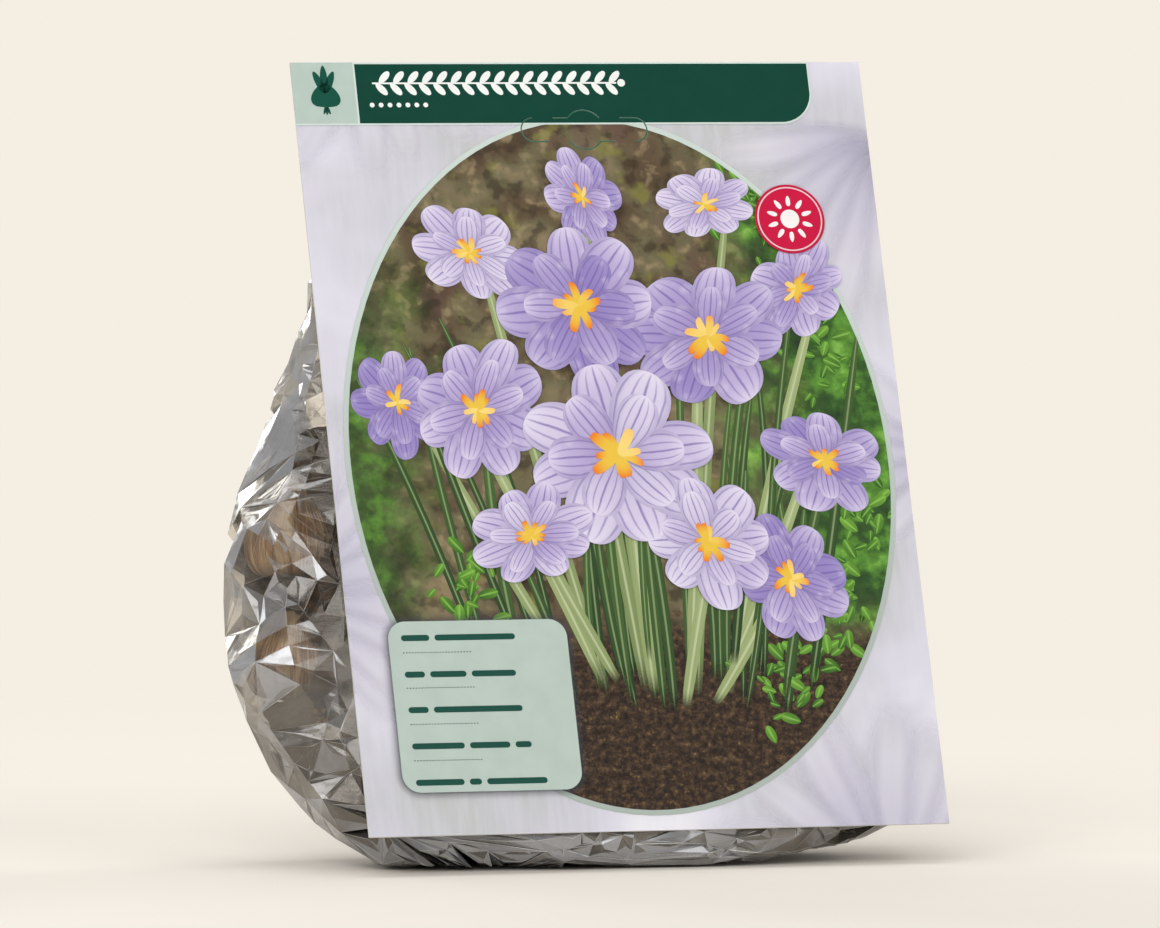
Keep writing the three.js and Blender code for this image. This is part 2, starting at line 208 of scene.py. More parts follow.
# %% Colours
def set_stops(ramp, stops):
    """A new ramp has a stop at each end: these take the first and last of the given stops."""
    for end, (place, colour) in ((0, stops[0]), (-1, stops[-1])):
        ramp.elements[end].position, ramp.elements[end].color = place, colour
    for place, colour in stops[1:-1]:
        ramp.elements.new(place).color = colour


def paint(red, green, blue):
    """A screen colour from 0 to 255 as the linear colour that shaders use."""
    def linear(level):
        level /= 255
        return level / 12.92 if level <= 0.04045 else ((level + 0.055) / 1.055) ** 2.4
    return (linear(red), linear(green), linear(blue), 1.0)


print("white is", paint(255, 255, 255))

# %% [markdown]
# ## Making a piece
#
# A finished piece is a mesh whose object sits at the origin, unturned and unscaled, so that a
# pattern on Object coordinates stays where it was drawn. Each one gets its material and the body
# that it rides on.

# %% A piece from a bmesh
def make_piece(name, shape, material, smooth=True):
    """Makes the piece, and gives it its material and body."""
    mesh = bpy.data.meshes.new(name)
    shape.to_mesh(mesh)
    shape.free()
    for face in mesh.polygons:
        face.use_smooth = smooth
    mesh.materials.append(material)
    made = bpy.data.objects.new(name, mesh)
    bpy.context.scene.collection.objects.link(made)
    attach(made, BODY)
    print(name, len(mesh.polygons), "faces")
    return made


def packed_shape(node):
    """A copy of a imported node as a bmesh, its loose triangles merged."""
    shape = bmesh.new()
    shape.from_mesh(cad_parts[node].data)
    bmesh.ops.remove_doubles(shape, verts=shape.verts, dist=0.005 * MM)
    return shape


# %% [markdown]
# ## The card's own frame
#
# The card leans back on the bag. Everything printed on it is easier to place in the card's own
# millimetres: u across from its left edge, v up from its lower edge, and a lift off its face. The
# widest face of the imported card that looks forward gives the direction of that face.

# %% Card coordinates
card_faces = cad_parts["card"].data.polygons
CARD_OUT = max((f for f in card_faces if f.normal.y < 0), key=lambda f: f.area).normal.copy()
CARD_ACROSS = Vector((1, 0, 0))
CARD_UP = CARD_OUT.cross(CARD_ACROSS)
card_points = [v.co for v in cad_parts["card"].data.vertices]
CARD_CORNER = (CARD_ACROSS * min(p.dot(CARD_ACROSS) for p in card_points)
               + CARD_UP * min(p.dot(CARD_UP) for p in card_points)
               + CARD_OUT * max(p.dot(CARD_OUT) for p in card_points))
CARD_WIDTH = (max(p.dot(CARD_ACROSS) for p in card_points) - CARD_CORNER.dot(CARD_ACROSS)) / MM
CARD_HEIGHT = (max(p.dot(CARD_UP) for p in card_points) - CARD_CORNER.dot(CARD_UP)) / MM
ON_CARD = Matrix.Translation(CARD_CORNER) @ Matrix(
    (CARD_ACROSS, CARD_UP, CARD_OUT)).transposed().to_4x4() @ Matrix.Scale(MM, 4)
print("card", round(CARD_WIDTH, 1), "x", round(CARD_HEIGHT, 1), "mm, leaning",
      round(math.degrees(math.asin(CARD_OUT.z)), 1), "degrees")

# %% [markdown]
# ## Cutting print like paper
#
# The printed fields are thin layers of ink on the card. Each starts as the card's own front face,
# which already has the slits of the hanging slot in it, and is trimmed with straight cuts, as a
# paper knife would: four for a box, and many small ones for a round corner or an oval. A cut is a
# point on its line and the direction that falls away. Blender's bisect does each cut.

# %% The paper knife
LAYER = 0.02  # lift of one layer of ink over the next, in millimetres
CORNER_CUTS, OVAL_CUTS = 8, 96
ON_CUT = 1e-5  # a point this near a cut counts as on it


def box_cuts(left, low, right, high, radii=(0, 0, 0, 0)):
    """Radii go round from the lower left corner to the lower right, upper right and upper left."""
    cuts = [((left, low), (-1, 0)), ((left, low), (0, -1)),
            ((right, high), (1, 0)), ((right, high), (0, 1))]
    corners = ((left, low, 1, 1), (right, low, -1, 1), (right, high, -1, -1), (left, high, 1, -1))
    for (x, y, inward_x, inward_y), radius in zip(corners, radii):
        for i in range(1, CORNER_CUTS if radius else 0):
            turn = math.pi / 2 * i / CORNER_CUTS
            away = (-inward_x * math.cos(turn), -inward_y * math.sin(turn))
            middle = (x + inward_x * radius, y + inward_y * radius)
            cuts.append(((middle[0] + radius * away[0], middle[1] + radius * away[1]), away))
    return cuts


def oval_cuts(x, y, half_width, half_height):
    cuts = []
    for i in range(OVAL_CUTS):
        turn = 2 * math.pi * i / OVAL_CUTS
        point = (x + half_width * math.cos(turn), y + half_height * math.sin(turn))
        cuts.append((point, (half_height * math.cos(turn), half_width * math.sin(turn))))
    return cuts


def trim(shape, cuts):
    """Cuts off whatever lies on the side of each cut that falls away."""
    for point, away in cuts:
        everything = shape.verts[:] + shape.edges[:] + shape.faces[:]
        bmesh.ops.bisect_plane(shape, geom=everything, dist=ON_CUT, clear_outer=True,
                               plane_co=(*point, 0), plane_no=(*away, 0))


def card_face():
    """The card's front face in card millimetres."""
    shape = packed_shape("card")
    bmesh.ops.transform(shape, matrix=ON_CARD.inverted(), verts=shape.verts)
    behind = [f for f in shape.faces if abs(f.calc_center_median().z) > 0.01]
    bmesh.ops.delete(shape, geom=behind, context="FACES")
    return shape


def sheet_of_ink(cuts, layer):
    """The card's face, trimmed by the cuts, at this layer."""
    shape = card_face()
    trim(shape, cuts)
    bmesh.ops.translate(shape, vec=(0, 0, layer * LAYER), verts=shape.verts)
    return shape


def print_on_card(name, shape, material):
    """Maps a shape in card millimetres, notes those as its card map, and lays it on the card."""
    card_map = shape.loops.layers.uv.new("card")
    for face in shape.faces:
        for loop in face.loops:
            loop[card_map].uv = loop.vert.co.xy
    bmesh.ops.recalc_face_normals(shape, faces=shape.faces)
    bmesh.ops.reverse_faces(shape, faces=[f for f in shape.faces if f.normal.z < 0])
    bmesh.ops.transform(shape, matrix=ON_CARD, verts=shape.verts)
    return make_piece(name, shape, material, smooth=False)


WHOLE_CARD = box_cuts(0, 0, CARD_WIDTH, CARD_HEIGHT)
print("the card's face has", len(card_face().faces), "triangles, slits and all")

# %% [markdown]
# ## Printed ink
#
# Offset print on coated card has a soft satin gloss, and the card under it is not perfectly flat:
# a slow ripple and a fine grain show in what it reflects. Every ink shares that surface, and only
# its colours differ, so one function takes a function that gives the colours.

# %% The satin of coated print
def ink(name, colours, cover=None):
    """colours gives the ink's colour, and cover, where it is given, how much the ink covers."""
    f = Finish(name)
    place = f.place()
    ripple = f.noise(place, 45, 2) + f.noise(place, 900, 2) * 0.05
    sockets = {
        "Base Color": colours(f),
        "Roughness": f.noise(place, 160, 2).rising(0.3, 0.7, 0.36, 0.46),
        "Specular IOR Level": 0.16,
        "Normal": f.bump(ripple, 0.25 * MM, 0.35),
    }
    if cover:
        sockets["Alpha"] = cover(f)
    return f.surface(sockets)


UNEVENNESS = 0.07  # how much darker solid print is in places


def plain(red, green, blue):
    """One ink, with the faint unevenness of solid print."""
    def colours(f):
        tone = f.noise(f.map("card"), 0.16, 4).rising(0.25, 0.75)
        light = paint(red, green, blue)
        dark = tuple(c * (1 - UNEVENNESS) for c in light[:3]) + (1.0,)
        return f.mix(dark, light, tone)
    return colours

# %% [markdown]
# ## Petals, leaves and stems
#
# The printed plants are made of one form: a grid of a few cells, drawn in to a petal's outline and
# bent to one side. The grid keeps its own map, across and along the petal, so that veins can run
# from foot to tip whatever the petal's size and turn. A number on its points, its tone, lets each
# petal differ a little in colour.

# %% One petal
PETAL_CELLS = (6, 16)
PETAL_STEP = 0.006  # each petal lies this much over the one before it, in millimetres
TIP_CROWDING = 1.3  # how much closer the rows of cells lie towards the tip
NARROWEST = 0.04  # the width at foot and tip, as a share of the widest
SHARED = 0.65  # how much of its tone a petal has from its flower


def blank_print():
    """An empty shape with a petal map and tones."""
    shape = bmesh.new()
    shape.loops.layers.uv.new("petal")
    shape.verts.layers.float.new("tone")
    return shape


def add_petal(shape, foot, turn, length, width, lift, bend=0.0, slim=0.7, blunt=0.45, view=None,
              shared_tone=None):
    """slim and blunt are how soon the petal widens from its foot and how late it closes. view is
    the side that the flower is seen from and how narrow that makes it."""
    cells_across, cells_along = PETAL_CELLS
    petal = bmesh.ops.create_grid(shape, x_segments=cells_across, y_segments=cells_along,
                                  size=1, calc_uvs=True)["verts"]
    tone = shape.verts.layers.float["tone"]
    peak = slim / (slim + blunt)
    widest = peak ** slim * (1 - peak) ** blunt
    own_tone = rng.random()
    if shared_tone is not None:
        own_tone = SHARED * shared_tone + (1 - SHARED) * own_tone
    for vert in petal:
        along = math.sin((vert.co.y + 1) * math.pi / 4) ** TIP_CROWDING
        half = width / 2 * max(along ** slim * (1 - along) ** blunt / widest, NARROWEST)
        vert.co = (vert.co.x * half + bend * length * along ** 2, along * length, lift)
        vert[tone] = own_tone
    place = Matrix.Translation((*foot, 0))
    if view:
        seen_from, share = view
        tip = Matrix.Rotation(seen_from, 4, "Z")
        place = place @ tip @ Matrix.Diagonal((share, 1, 1, 1)) @ tip.inverted()
    bmesh.ops.transform(shape, matrix=place @ Matrix.Rotation(turn, 4, "Z"), verts=petal)


def petal_parts(f):
    """Across the petal from -1 to 1, along it from 0 to 1, and the petal's own tone."""
    across, along, _ = f.parts(f.map("petal"))
    return (across - 0.5) * 2, along, f.own("tone")


# %% [markdown]
# ## The card's ground
#
# Round the picture the card is a pale, greyish lilac, cloudy, with a faint streak. The ground is
# the whole face of the card, so it needs no cuts, and slow noise through a colour ramp is enough.

# %% Ground
def ground_colours(f):
    place = f.map("card")
    cloud = f.noise(place, 0.022, 3, 0.45, 0.4)
    tint = f.ramp(cloud, [(0.30, paint(186, 189, 184)), (0.44, paint(202, 202, 211)),
                          (0.56, paint(220, 218, 231)), (0.68, paint(238, 237, 244))])
    streak = f.noise(f.stretch(place, (0.5, 0.06, 1)), 1.0, 2).rising(0.3, 0.7, 0, 0.25)
    return f.mix(tint, paint(226, 224, 236), streak)


print_on_card("print_ground", sheet_of_ink(WHOLE_CARD, 1), ink("ground_ink", ground_colours))

# %% [markdown]
# ## The slot's edges
#
# The hanging slot is cut but not pushed out. On the real card the knife's slits are far thinner
# than the model's: their edges close on each other, stained green by the print. A small plain
# sheet right under the ink stands for that. It needs no cuts, so a grid of two cells is enough.

# %% Under the slot
SLOT_PATCH = (34, 12, 177.5)  # width, height, and middle up the card


def slot_patch():
    width, height, up = SLOT_PATCH
    shape = bmesh.new()
    bmesh.ops.create_grid(shape, x_segments=2, y_segments=1, size=0.5)
    bmesh.ops.scale(shape, vec=(width, height, 1), verts=shape.verts)
    bmesh.ops.translate(shape, vec=(CARD_WIDTH / 2, up, LAYER / 2), verts=shape.verts)
    return shape


print_on_card("print_slot_edges", slot_patch(), ink("slot_edge_ink", plain(60, 116, 90)))

# %% [markdown]
# ## Soft petals
#
# The pale petals on the ground are printed as if out of focus. They lie in fans that start
# outside the card, and are trimmed to its edges. Blurring them in the shader is the simple way:
# the ink fades out towards the sides and the end of each petal.

# %% Soft petals on the ground
# Each fan: where its petals start, their length and width, and the turns that they spread over.
FANS = [((150, 176), 52, 17, (100, 215), 9), ((-14, 62), 46, 15, (-145, -25), 9),
        ((128, -16), 50, 17, (-70, 62), 9), ((24, 214), 52, 15, (120, 232), 8),
        ((158, 92), 40, 14, (50, 130), 5)]


def soft_petals():
    shape = blank_print()
    for foot, length, width, (first, last), count in FANS:
        lift = 2 * LAYER
        for i in range(count):
            turn = math.radians(first + (last - first) * i / (count - 1) + rng.uniform(-4, 4))
            add_petal(shape, foot, turn, length * rng.uniform(0.85, 1.1), width, lift,
                      rng.uniform(-0.12, 0.12), 0.6, 0.3)
            lift += PETAL_STEP / 2
    trim(shape, WHOLE_CARD)
    return shape


def soft_petal_colours(f):
    across, along, tone = petal_parts(f)
    streak = f.noise(f.stretch(f.map("petal"), (9, 0.7, 1)), 1.0, 2).rising(0.3, 0.7)
    pale = f.mix(paint(202, 198, 220), paint(242, 240, 247), along.rising(0.1, 0.8))
    deep = f.mix(pale, paint(208, 204, 223), (1 - streak) * 0.22)
    return f.mix(deep, paint(226, 224, 236), tone * 0.4)


def soft_cover(f):
    """The ink fades out towards the sides and ends of its petals."""
    across, along, _ = petal_parts(f)
    inside = (1 - abs(across).rising(0.2, 1.0)) * along.rising(0.0, 0.3)
    return inside * (1 - along.rising(0.5, 1.0)) * 0.85


print_on_card("print_soft_petals", soft_petals(),
              ink("soft_petal_ink", soft_petal_colours, soft_cover))

# %% [markdown]
# ## The picture
#
# The picture fills a tall oval with a pale rim. Its backdrop is a garden bed out of focus: brown
# and olive above, green to the right, and dark crumbly soil below. All of that is colour only, so
# it is one oval of ink whose shader sets noise of different sizes to work: slow noise for what is
# out of focus, and fine noise and cells for the soil.

# %% Rim and backdrop
PICTURE = (72.6, 92.4, 67.7, 87.4)  # middle and half sizes
RIM = 1.3


def rim_colours(f):
    _, up, _ = f.parts(f.map("card"))
    return f.mix(paint(172, 184, 177), paint(203, 216, 210), up.rising(30, 170))


def backdrop_colours(f):
    place = f.map("card")
    right, up, _ = f.parts(place)
    slow = f.noise(place, 0.055, 3, 0.5, 0.6)
    bed = f.ramp(slow, [(0.28, paint(66, 54, 40)), (0.42, paint(96, 80, 60)),
                        (0.55, paint(109, 103, 76)), (0.70, paint(140, 124, 96))])
    ruddy = f.noise(f.stretch(place, (1, 0.6, 1)), 0.09, 3).rising(0.52, 0.68, 0, 0.5)
    bed = f.mix(bed, paint(106, 80, 74), ruddy)
    litter = f.noise(place, 0.2, 3, 0.5, 0.15)
    bed = f.mix(bed, paint(50, 40, 30), (1 - litter.rising(0.34, 0.5)) * 0.65)
    bed = f.mix(bed, paint(164, 146, 112), litter.rising(0.54, 0.7) * 0.6)
    mossy = f.noise(place, 0.12, 3, 0.5, 0.1).rising(0.56, 0.7, 0, 0.6)
    bed = f.mix(bed, paint(132, 132, 62), mossy)
    shrub = f.noise(place, 0.11, 4, 0.6)
    leafy = f.ramp(shrub, [(0.3, paint(34, 54, 30)), (0.46, paint(53, 88, 38)),
                           (0.6, paint(92, 146, 54)), (0.72, paint(138, 190, 84))])
    to_right = (right + slow * 46).rising(118, 144) * up.rising(34, 60)
    to_left = (1 - (right + slow * 30).rising(22, 44)) * (1 - up.rising(120, 160))
    scene = f.mix(bed, leafy, to_right.most(to_left * 0.8))
    crumbs = f.noise(place, 0.55, 7, 0.72)
    soil = f.ramp(crumbs, [(0.36, paint(30, 22, 19)), (0.5, paint(60, 46, 36)),
                           (0.6, paint(88, 69, 50)), (0.7, paint(138, 112, 74))])
    chips = f.node("TexVoronoi", None, {"Vector": place, "Scale": 0.9, "Randomness": 1.0})
    bright = (1 - chips.rising(0.05, 0.22)) * crumbs.rising(0.5, 0.6)
    soil = f.mix(soil, paint(150, 128, 66), bright)
    ground = 1 - (up + f.noise(place, 0.07, 3) * 26 - 13).rising(44, 58)
    return f.mix(scene, soil, ground)


middle_across, middle_up, half_width, half_height = PICTURE
rim = oval_cuts(middle_across, middle_up, half_width + RIM, half_height + RIM)
print_on_card("print_rim", sheet_of_ink(rim, 6), ink("rim_ink", rim_colours))
print_on_card("print_backdrop", sheet_of_ink(oval_cuts(*PICTURE), 7),
              ink("backdrop_ink", backdrop_colours))

# %% [markdown]
# ## Leaves and stems in the picture
#
# Slender leaves stand up between the flowers, and each flower has a pale stem down to the soil.
# Both are very long petals. At the right and below, short bright leaflets stand in sprigs. All of
# it is trimmed to the oval.

# %% Flowers' places
# Each flower: middle, radius, turn, how it is seen (from which side, and how narrow), and tier.
FLOWERS = [
    ((70, 160), 13, 10, (20, 0.72), 0), ((40, 146), 15, 40, (60, 0.80), 0),
    ((101, 158), 13, 75, (100, 0.70), 0), ((122, 136), 15, 15, (140, 0.75), 0),
    ((18, 108), 14, 50, (0, 0.85), 0), ((124, 92), 16, 30, (70, 0.8), 0),
    ((66, 132), 22, 5, (10, 0.92), 1), ((98, 124), 21, 33, (120, 0.86), 1),
    ((38, 106), 19, 20, (150, 0.85), 1), ((112, 62), 17, 60, (20, 0.82), 1),
    ((72, 94), 25, 12, (90, 0.95), 2), ((92, 72), 18, 48, (40, 0.88), 2),
    ((48, 74), 16, 70, (110, 0.8), 2),
]
SOIL_LINE = 40
STEM_FOOT = 76  # stems lean in towards this place on the soil
TIER = 0.16  # lift of each tier of flowers over the one behind it, in millimetres
FLOWER_LIFT = 9 * LAYER


# %% Leaves and stems
LEAVES = 34
LEAF_FEET = (34, 116)  # the soil that leaves stand on, across the card


def add_blade(shape, start, end, width, lift, bend):
    """A very long petal from one place to another."""
    reach = Vector(end) - Vector(start)
    turn = math.atan2(-reach.x, reach.y)
    add_petal(shape, start, turn, reach.length, width, lift, bend, 0.25, 0.3)


def leaves():
    shape = blank_print()
    lift = FLOWER_LIFT - LAYER
    for _ in range(LEAVES):
        foot = (rng.uniform(*LEAF_FEET), rng.uniform(26, SOIL_LINE))
        lean = (foot[0] - STEM_FOOT) * rng.uniform(0.2, 0.9)
        tip = (foot[0] + lean, foot[1] + rng.uniform(35, 105))
        add_blade(shape, foot, tip, rng.uniform(1.6, 2.8), lift, rng.uniform(-0.16, 0.16))
        lift += PETAL_STEP / 4
    trim(shape, oval_cuts(*PICTURE))
    return shape


def stems():
    shape = blank_print()
    lift = FLOWER_LIFT
    for (u, v), radius, *_ in FLOWERS:
        foot = (STEM_FOOT + (u - STEM_FOOT) * 0.35, SOIL_LINE - rng.uniform(2, 12))
        add_blade(shape, foot, (u, v), 2.1 + radius * 0.05, lift, rng.uniform(-0.06, 0.06))
        lift += PETAL_STEP / 4
    trim(shape, oval_cuts(*PICTURE))
    return shape


# %% Sprigs
SPRIGS = [(124, 58), (132, 74), (117, 44), (108, 34), (128, 118), (120, 152), (112, 162), (30, 60)]
LEAFLETS = 26  # in each sprig


def sprigs():
    shape = blank_print()
    lift = FLOWER_LIFT - 2 * LAYER
    for u, v in SPRIGS:
        for _ in range(LEAFLETS):
            place = (u + rng.gauss(0, 4.5), v + rng.gauss(0, 6))
            length = rng.uniform(2.5, 5.5)
            turn = rng.uniform(-1.4, 1.4)
            add_petal(shape, place, turn, length, length * 0.5, lift, 0, 0.6, 0.5)
            lift += PETAL_STEP / 16
    trim(shape, oval_cuts(*PICTURE))
    return shape


# %% Green inks
def leaf_colours(dark, light, rib):
    """Colours for a leaf's sides, its blade and its middle rib."""
    def colours(f):
        across, along, tone = petal_parts(f)
        blade = f.mix(dark, light, along * 0.6 + tone * 0.6 - abs(across) * 0.2)
        streak = f.noise(f.stretch(f.map("petal"), (5, 1.5, 1)), 1.0, 2).rising(0.35, 0.65, 0, 0.35)
        blade = f.mix(blade, dark, streak)
        return f.mix(blade, rib, (1 - abs(across).rising(0.08, 0.3)) * 0.55)
    return colours


def rooted_cover(f):
    """Leaves and stems fade into the soil at their feet."""
    _, along, _ = petal_parts(f)
    return along.rising(0.03, 0.14)


sprig_greens = paint(46, 92, 30), paint(126, 184, 66), paint(150, 200, 96)
leaf_greens = paint(34, 60, 34), paint(92, 124, 62), paint(158, 178, 128)
stem_greens = paint(122, 140, 88), paint(178, 192, 138), paint(206, 214, 176)
print_on_card("print_sprigs", sprigs(), ink("sprig_ink", leaf_colours(*sprig_greens)))
print_on_card("print_leaves", leaves(), ink("leaf_ink", leaf_colours(*leaf_greens), rooted_cover))
print_on_card("print_stems", stems(), ink("stem_ink", leaf_colours(*stem_greens), rooted_cover))

# %% [markdown]
# ## Flowers in the picture
#
# Each flower is two rings of petals over each other, flattened a little as it is seen from one
# side, with a heart of yellow and orange threads. The petals' ink runs from a yellow throat over
# violet to pale lilac, with fine veins that fan out from the foot, darker towards each petal's
# sides where the next one lies over it.

# %% Petals
OUTER_PETALS = 8
INNER_SIZE = 0.72  # of the inner ring, as a share of the outer one
RING_TURN = 23  # degrees that the inner ring is turned by


def flower_petals():
    shape = blank_print()
    for (u, v), radius, turn, (seen_from, share), tier in FLOWERS:
        lift = FLOWER_LIFT + 2 * LAYER + tier * TIER
        view = (math.radians(seen_from), share)
        flower_tone = rng.random()
        rings = ((1.0, OUTER_PETALS), (INNER_SIZE, OUTER_PETALS - 2))
        for ring, (reach, count) in enumerate(rings):
            start = math.radians(turn + RING_TURN * ring)
            for i in range(count):
                around = start + 2 * math.pi * (i + rng.uniform(-0.1, 0.1)) / count
                length = radius * reach * rng.uniform(0.9, 1.05)
                width = length * rng.uniform(0.56, 0.66)
                add_petal(shape, (u, v), around, length, width, lift, rng.uniform(-0.1, 0.1),
                          0.75, 0.42, view, flower_tone)
                lift += PETAL_STEP
    trim(shape, WHOLE_CARD)
    return shape


# %% Petal ink
VEIN_SPREAD = 16  # the more, the more veins stand side by side


def petal_colours(f):
    """Yellow at the throat, then violet, then pale. Over that veins, a rib and darker sides."""
    across, along, tone = petal_parts(f)
    lilac = f.ramp(along, [(0.0, paint(222, 206, 120)), (0.10, paint(214, 200, 190)),
                           (0.24, paint(176, 160, 206)), (0.55, paint(190, 176, 218)),
                           (0.85, paint(216, 206, 234)), (1.0, paint(224, 216, 240))])
    deep = f.mix(lilac, paint(128, 110, 184), tone.rising(0.5, 0.95, 0, 0.75))
    deep = f.mix(deep, paint(234, 228, 244), 0.55 - tone.rising(0.1, 0.5, 0, 0.55))
    drift = f.noise(f.stretch(f.map("petal"), (2.2, 3.0, 1)), 1.0, 3)
    mottled = f.mix(deep, paint(232, 224, 244), drift.rising(0.5, 0.75, 0, 0.5))
    wave = (across * VEIN_SPREAD + drift * 3.5).sine()
    vein = wave.rising(0.62, 1.0) * (1 - along.rising(0.6, 0.95)) * along.rising(0.05, 0.2)
    veined = f.mix(mottled, paint(104, 84, 160), vein * 0.5)
    rib_reach = along.rising(0.1, 0.3) * (1 - along.rising(0.8, 1.0))
    rib = (1 - abs(across).rising(0.0, 0.09)) * rib_reach
    ribbed = f.mix(veined, paint(112, 92, 168), rib * 0.45)
    edge = abs(across).rising(0.55, 1.0) * 0.34 + (1 - along.rising(0.1, 0.5)) * 0.25
    return f.mix(ribbed, paint(112, 98, 160), edge)


print_on_card("print_petals", flower_petals(), ink("petal_ink", petal_colours))

# %% Hearts
LARGE_FLOWER = 14  # from this radius up
MANY_THREADS, FEW_THREADS = 9, 6  # in the heart of a large flower and of a small one


def flower_hearts():
    shape = blank_print()
    for (u, v), radius, turn, (seen_from, share), tier in FLOWERS:
        lift = FLOWER_LIFT + 3 * LAYER + tier * TIER + 2 * OUTER_PETALS * PETAL_STEP
        view = (math.radians(seen_from), share)
        threads = MANY_THREADS if radius > LARGE_FLOWER else FEW_THREADS
        for i in range(threads):
            around = math.radians(turn) + 2 * math.pi * (i + rng.uniform(-0.25, 0.25)) / threads
            length = radius * rng.uniform(0.2, 0.34)
            add_petal(shape, (u, v), around, length, length * 0.36, lift, rng.uniform(-0.3, 0.3),
                      0.4, 0.25, view)
            lift += PETAL_STEP / 2
    return shape


def heart_colours(f):
    _, along, tone = petal_parts(f)
    thread = f.mix(paint(236, 196, 70), paint(240, 128, 40), along.rising(0.3, 0.9))
    return f.mix(thread, paint(252, 226, 140), tone.rising(0.5, 0.9, 0, 0.7))


print_on_card("print_hearts", flower_hearts(), ink("heart_ink", heart_colours))

# %% [markdown]
# ## Fields and marks
#
# Over the picture lie the plain fields: a rounded panel with a soft shade round it, the dark band
# along the top with a pale line round it, the tile in its corner, and a round badge. Their marks
# are general ones: dotted rules and short bars, a garland, a sprouting bulb and a sun.

# %% Fields
PANEL = (9.5, 10.5, 54.0, 53.0)
PANEL_RADIUS = 4.5
SHADE_REACH = 2.2  # how far the panel's soft shade reaches
PANEL_LIFT, BAND_LIFT = 26, 10  # in layers of ink
BAND = (16.0, 179.3, 131.3)
BAND_RADIUS = 8.0
BAND_LINE = 0.45
BADGE = (122.3, 154.0, 8.9)


# %% Plates, discs and the panel
def add_plate(shape, left, low, right, high, radius, layer):
    """A small flat plate with rounded corners."""
    corners = bmesh.ops.create_grid(shape, x_segments=1, y_segments=1, size=1)["verts"]
    for vert in corners:
        vert.co = (left if vert.co.x < 0 else right, low if vert.co.y < 0 else high, layer * LAYER)
    bmesh.ops.bevel(shape, geom=corners, offset=radius, offset_type="OFFSET", affect="VERTICES",
                    segments=4, profile=0.5, material=-1)


def add_disc(shape, middle, radius, layer, sides=12):
    """A small flat disc."""
    place = Matrix.Translation((*middle, layer * LAYER))
    bmesh.ops.create_circle(shape, cap_ends=True, segments=sides, radius=radius, matrix=place)


def panel_shade(name):
    """A shadow's ink: clear at the outside and darkest under the panel's edge."""
    left, low, right, high = PANEL
    f = Finish(name)
    across, up, _ = f.parts(f.map("card"))
    past_side = (abs(across - (left + right) / 2) - ((right - left) / 2 - PANEL_RADIUS)).most(0)
    past_end = (abs(up - (low + high) / 2) - ((high - low) / 2 - PANEL_RADIUS)).most(0)
    out = (past_side * past_side + past_end * past_end) ** 0.5 - PANEL_RADIUS
    shade = 1 - out.rising(-0.4, SHADE_REACH)
    return f.surface({"Base Color": paint(70, 72, 84), "Roughness": 0.5, "Alpha": shade * 0.42})


def around_panel(margin):
    """Cuts round the panel, this far outside it."""
    left, low, right, high = PANEL
    return box_cuts(left - margin, low - margin, right + margin, high + margin,
                    (PANEL_RADIUS + margin,) * 4)


def print_field(name, cuts, layer, colour):
    """One field of one plain ink."""
    print_on_card(f"print_{name}", sheet_of_ink(cuts, layer), ink(f"{name}_ink", plain(*colour)))


print_on_card("print_panel_shade", sheet_of_ink(around_panel(SHADE_REACH), PANEL_LIFT - 1),
              panel_shade("panel_shade_ink"))
print_field("panel", around_panel(0), PANEL_LIFT, (187, 203, 195))

# %% Rules and bars on the panel
RULE_HEIGHTS = (45.2, 36.4, 27.4, 18.4)
RULE = (13.0, 30.4)
DOT, DOT_STEP = 0.17, 0.75
BAR_LOW, BAR_HEIGHT, BAR_GAP = 2.9, 1.5, 1.3
BAR_ROWS = ((7, 20), (5, 9, 11), (5, 22), (13, 10, 4), (12, 3, 15))


def panel_marks():
    shape = blank_print()
    start, end = RULE
    for height in RULE_HEIGHTS:
        for i in range(int((end - start) / DOT_STEP)):
            add_disc(shape, (start + i * DOT_STEP, height), DOT, PANEL_LIFT + 1, 8)
    for row, bars in enumerate(BAR_ROWS):
        low = (RULE_HEIGHTS[row - 1] - 6.2) if row else RULE_HEIGHTS[0] + BAR_LOW
        left = start - 0.3
        for length in bars:
            add_plate(shape, left, low, left + length, low + BAR_HEIGHT, 0.74, PANEL_LIFT + 1)
            left += length + BAR_GAP
    return shape


print_on_card("print_panel_marks", panel_marks(), ink("dark_green_ink", plain(24, 78, 66)))

# %% Band, line and tile
band_left, band_low, band_right = BAND
line_around = box_cuts(0, band_low - BAND_LINE, band_right + BAND_LINE, CARD_HEIGHT,
                       (0, BAND_RADIUS + BAND_LINE, 0, 0))
band = box_cuts(band_left, band_low, band_right, CARD_HEIGHT - BAND_LINE, (0, BAND_RADIUS, 0, 0))
tile = box_cuts(0, band_low, band_left - BAND_LINE, CARD_HEIGHT)
print_field("band_line", line_around, BAND_LIFT - 1, (214, 228, 222))
print_field("band", band, BAND_LIFT, (0, 66, 52))
print_field("tile", tile, BAND_LIFT, (186, 204, 196))

# %% Garland, dots and bulb
GARLAND = (20.0, 82.0, 189.6)
GARLAND_LEAVES = 17
MARK_LIFT = (BAND_LIFT + 2) * LAYER
DOT_ROW, DOTS = (19.5, 33.0, 184.0), 7
BULB = (8.0, 183.4)


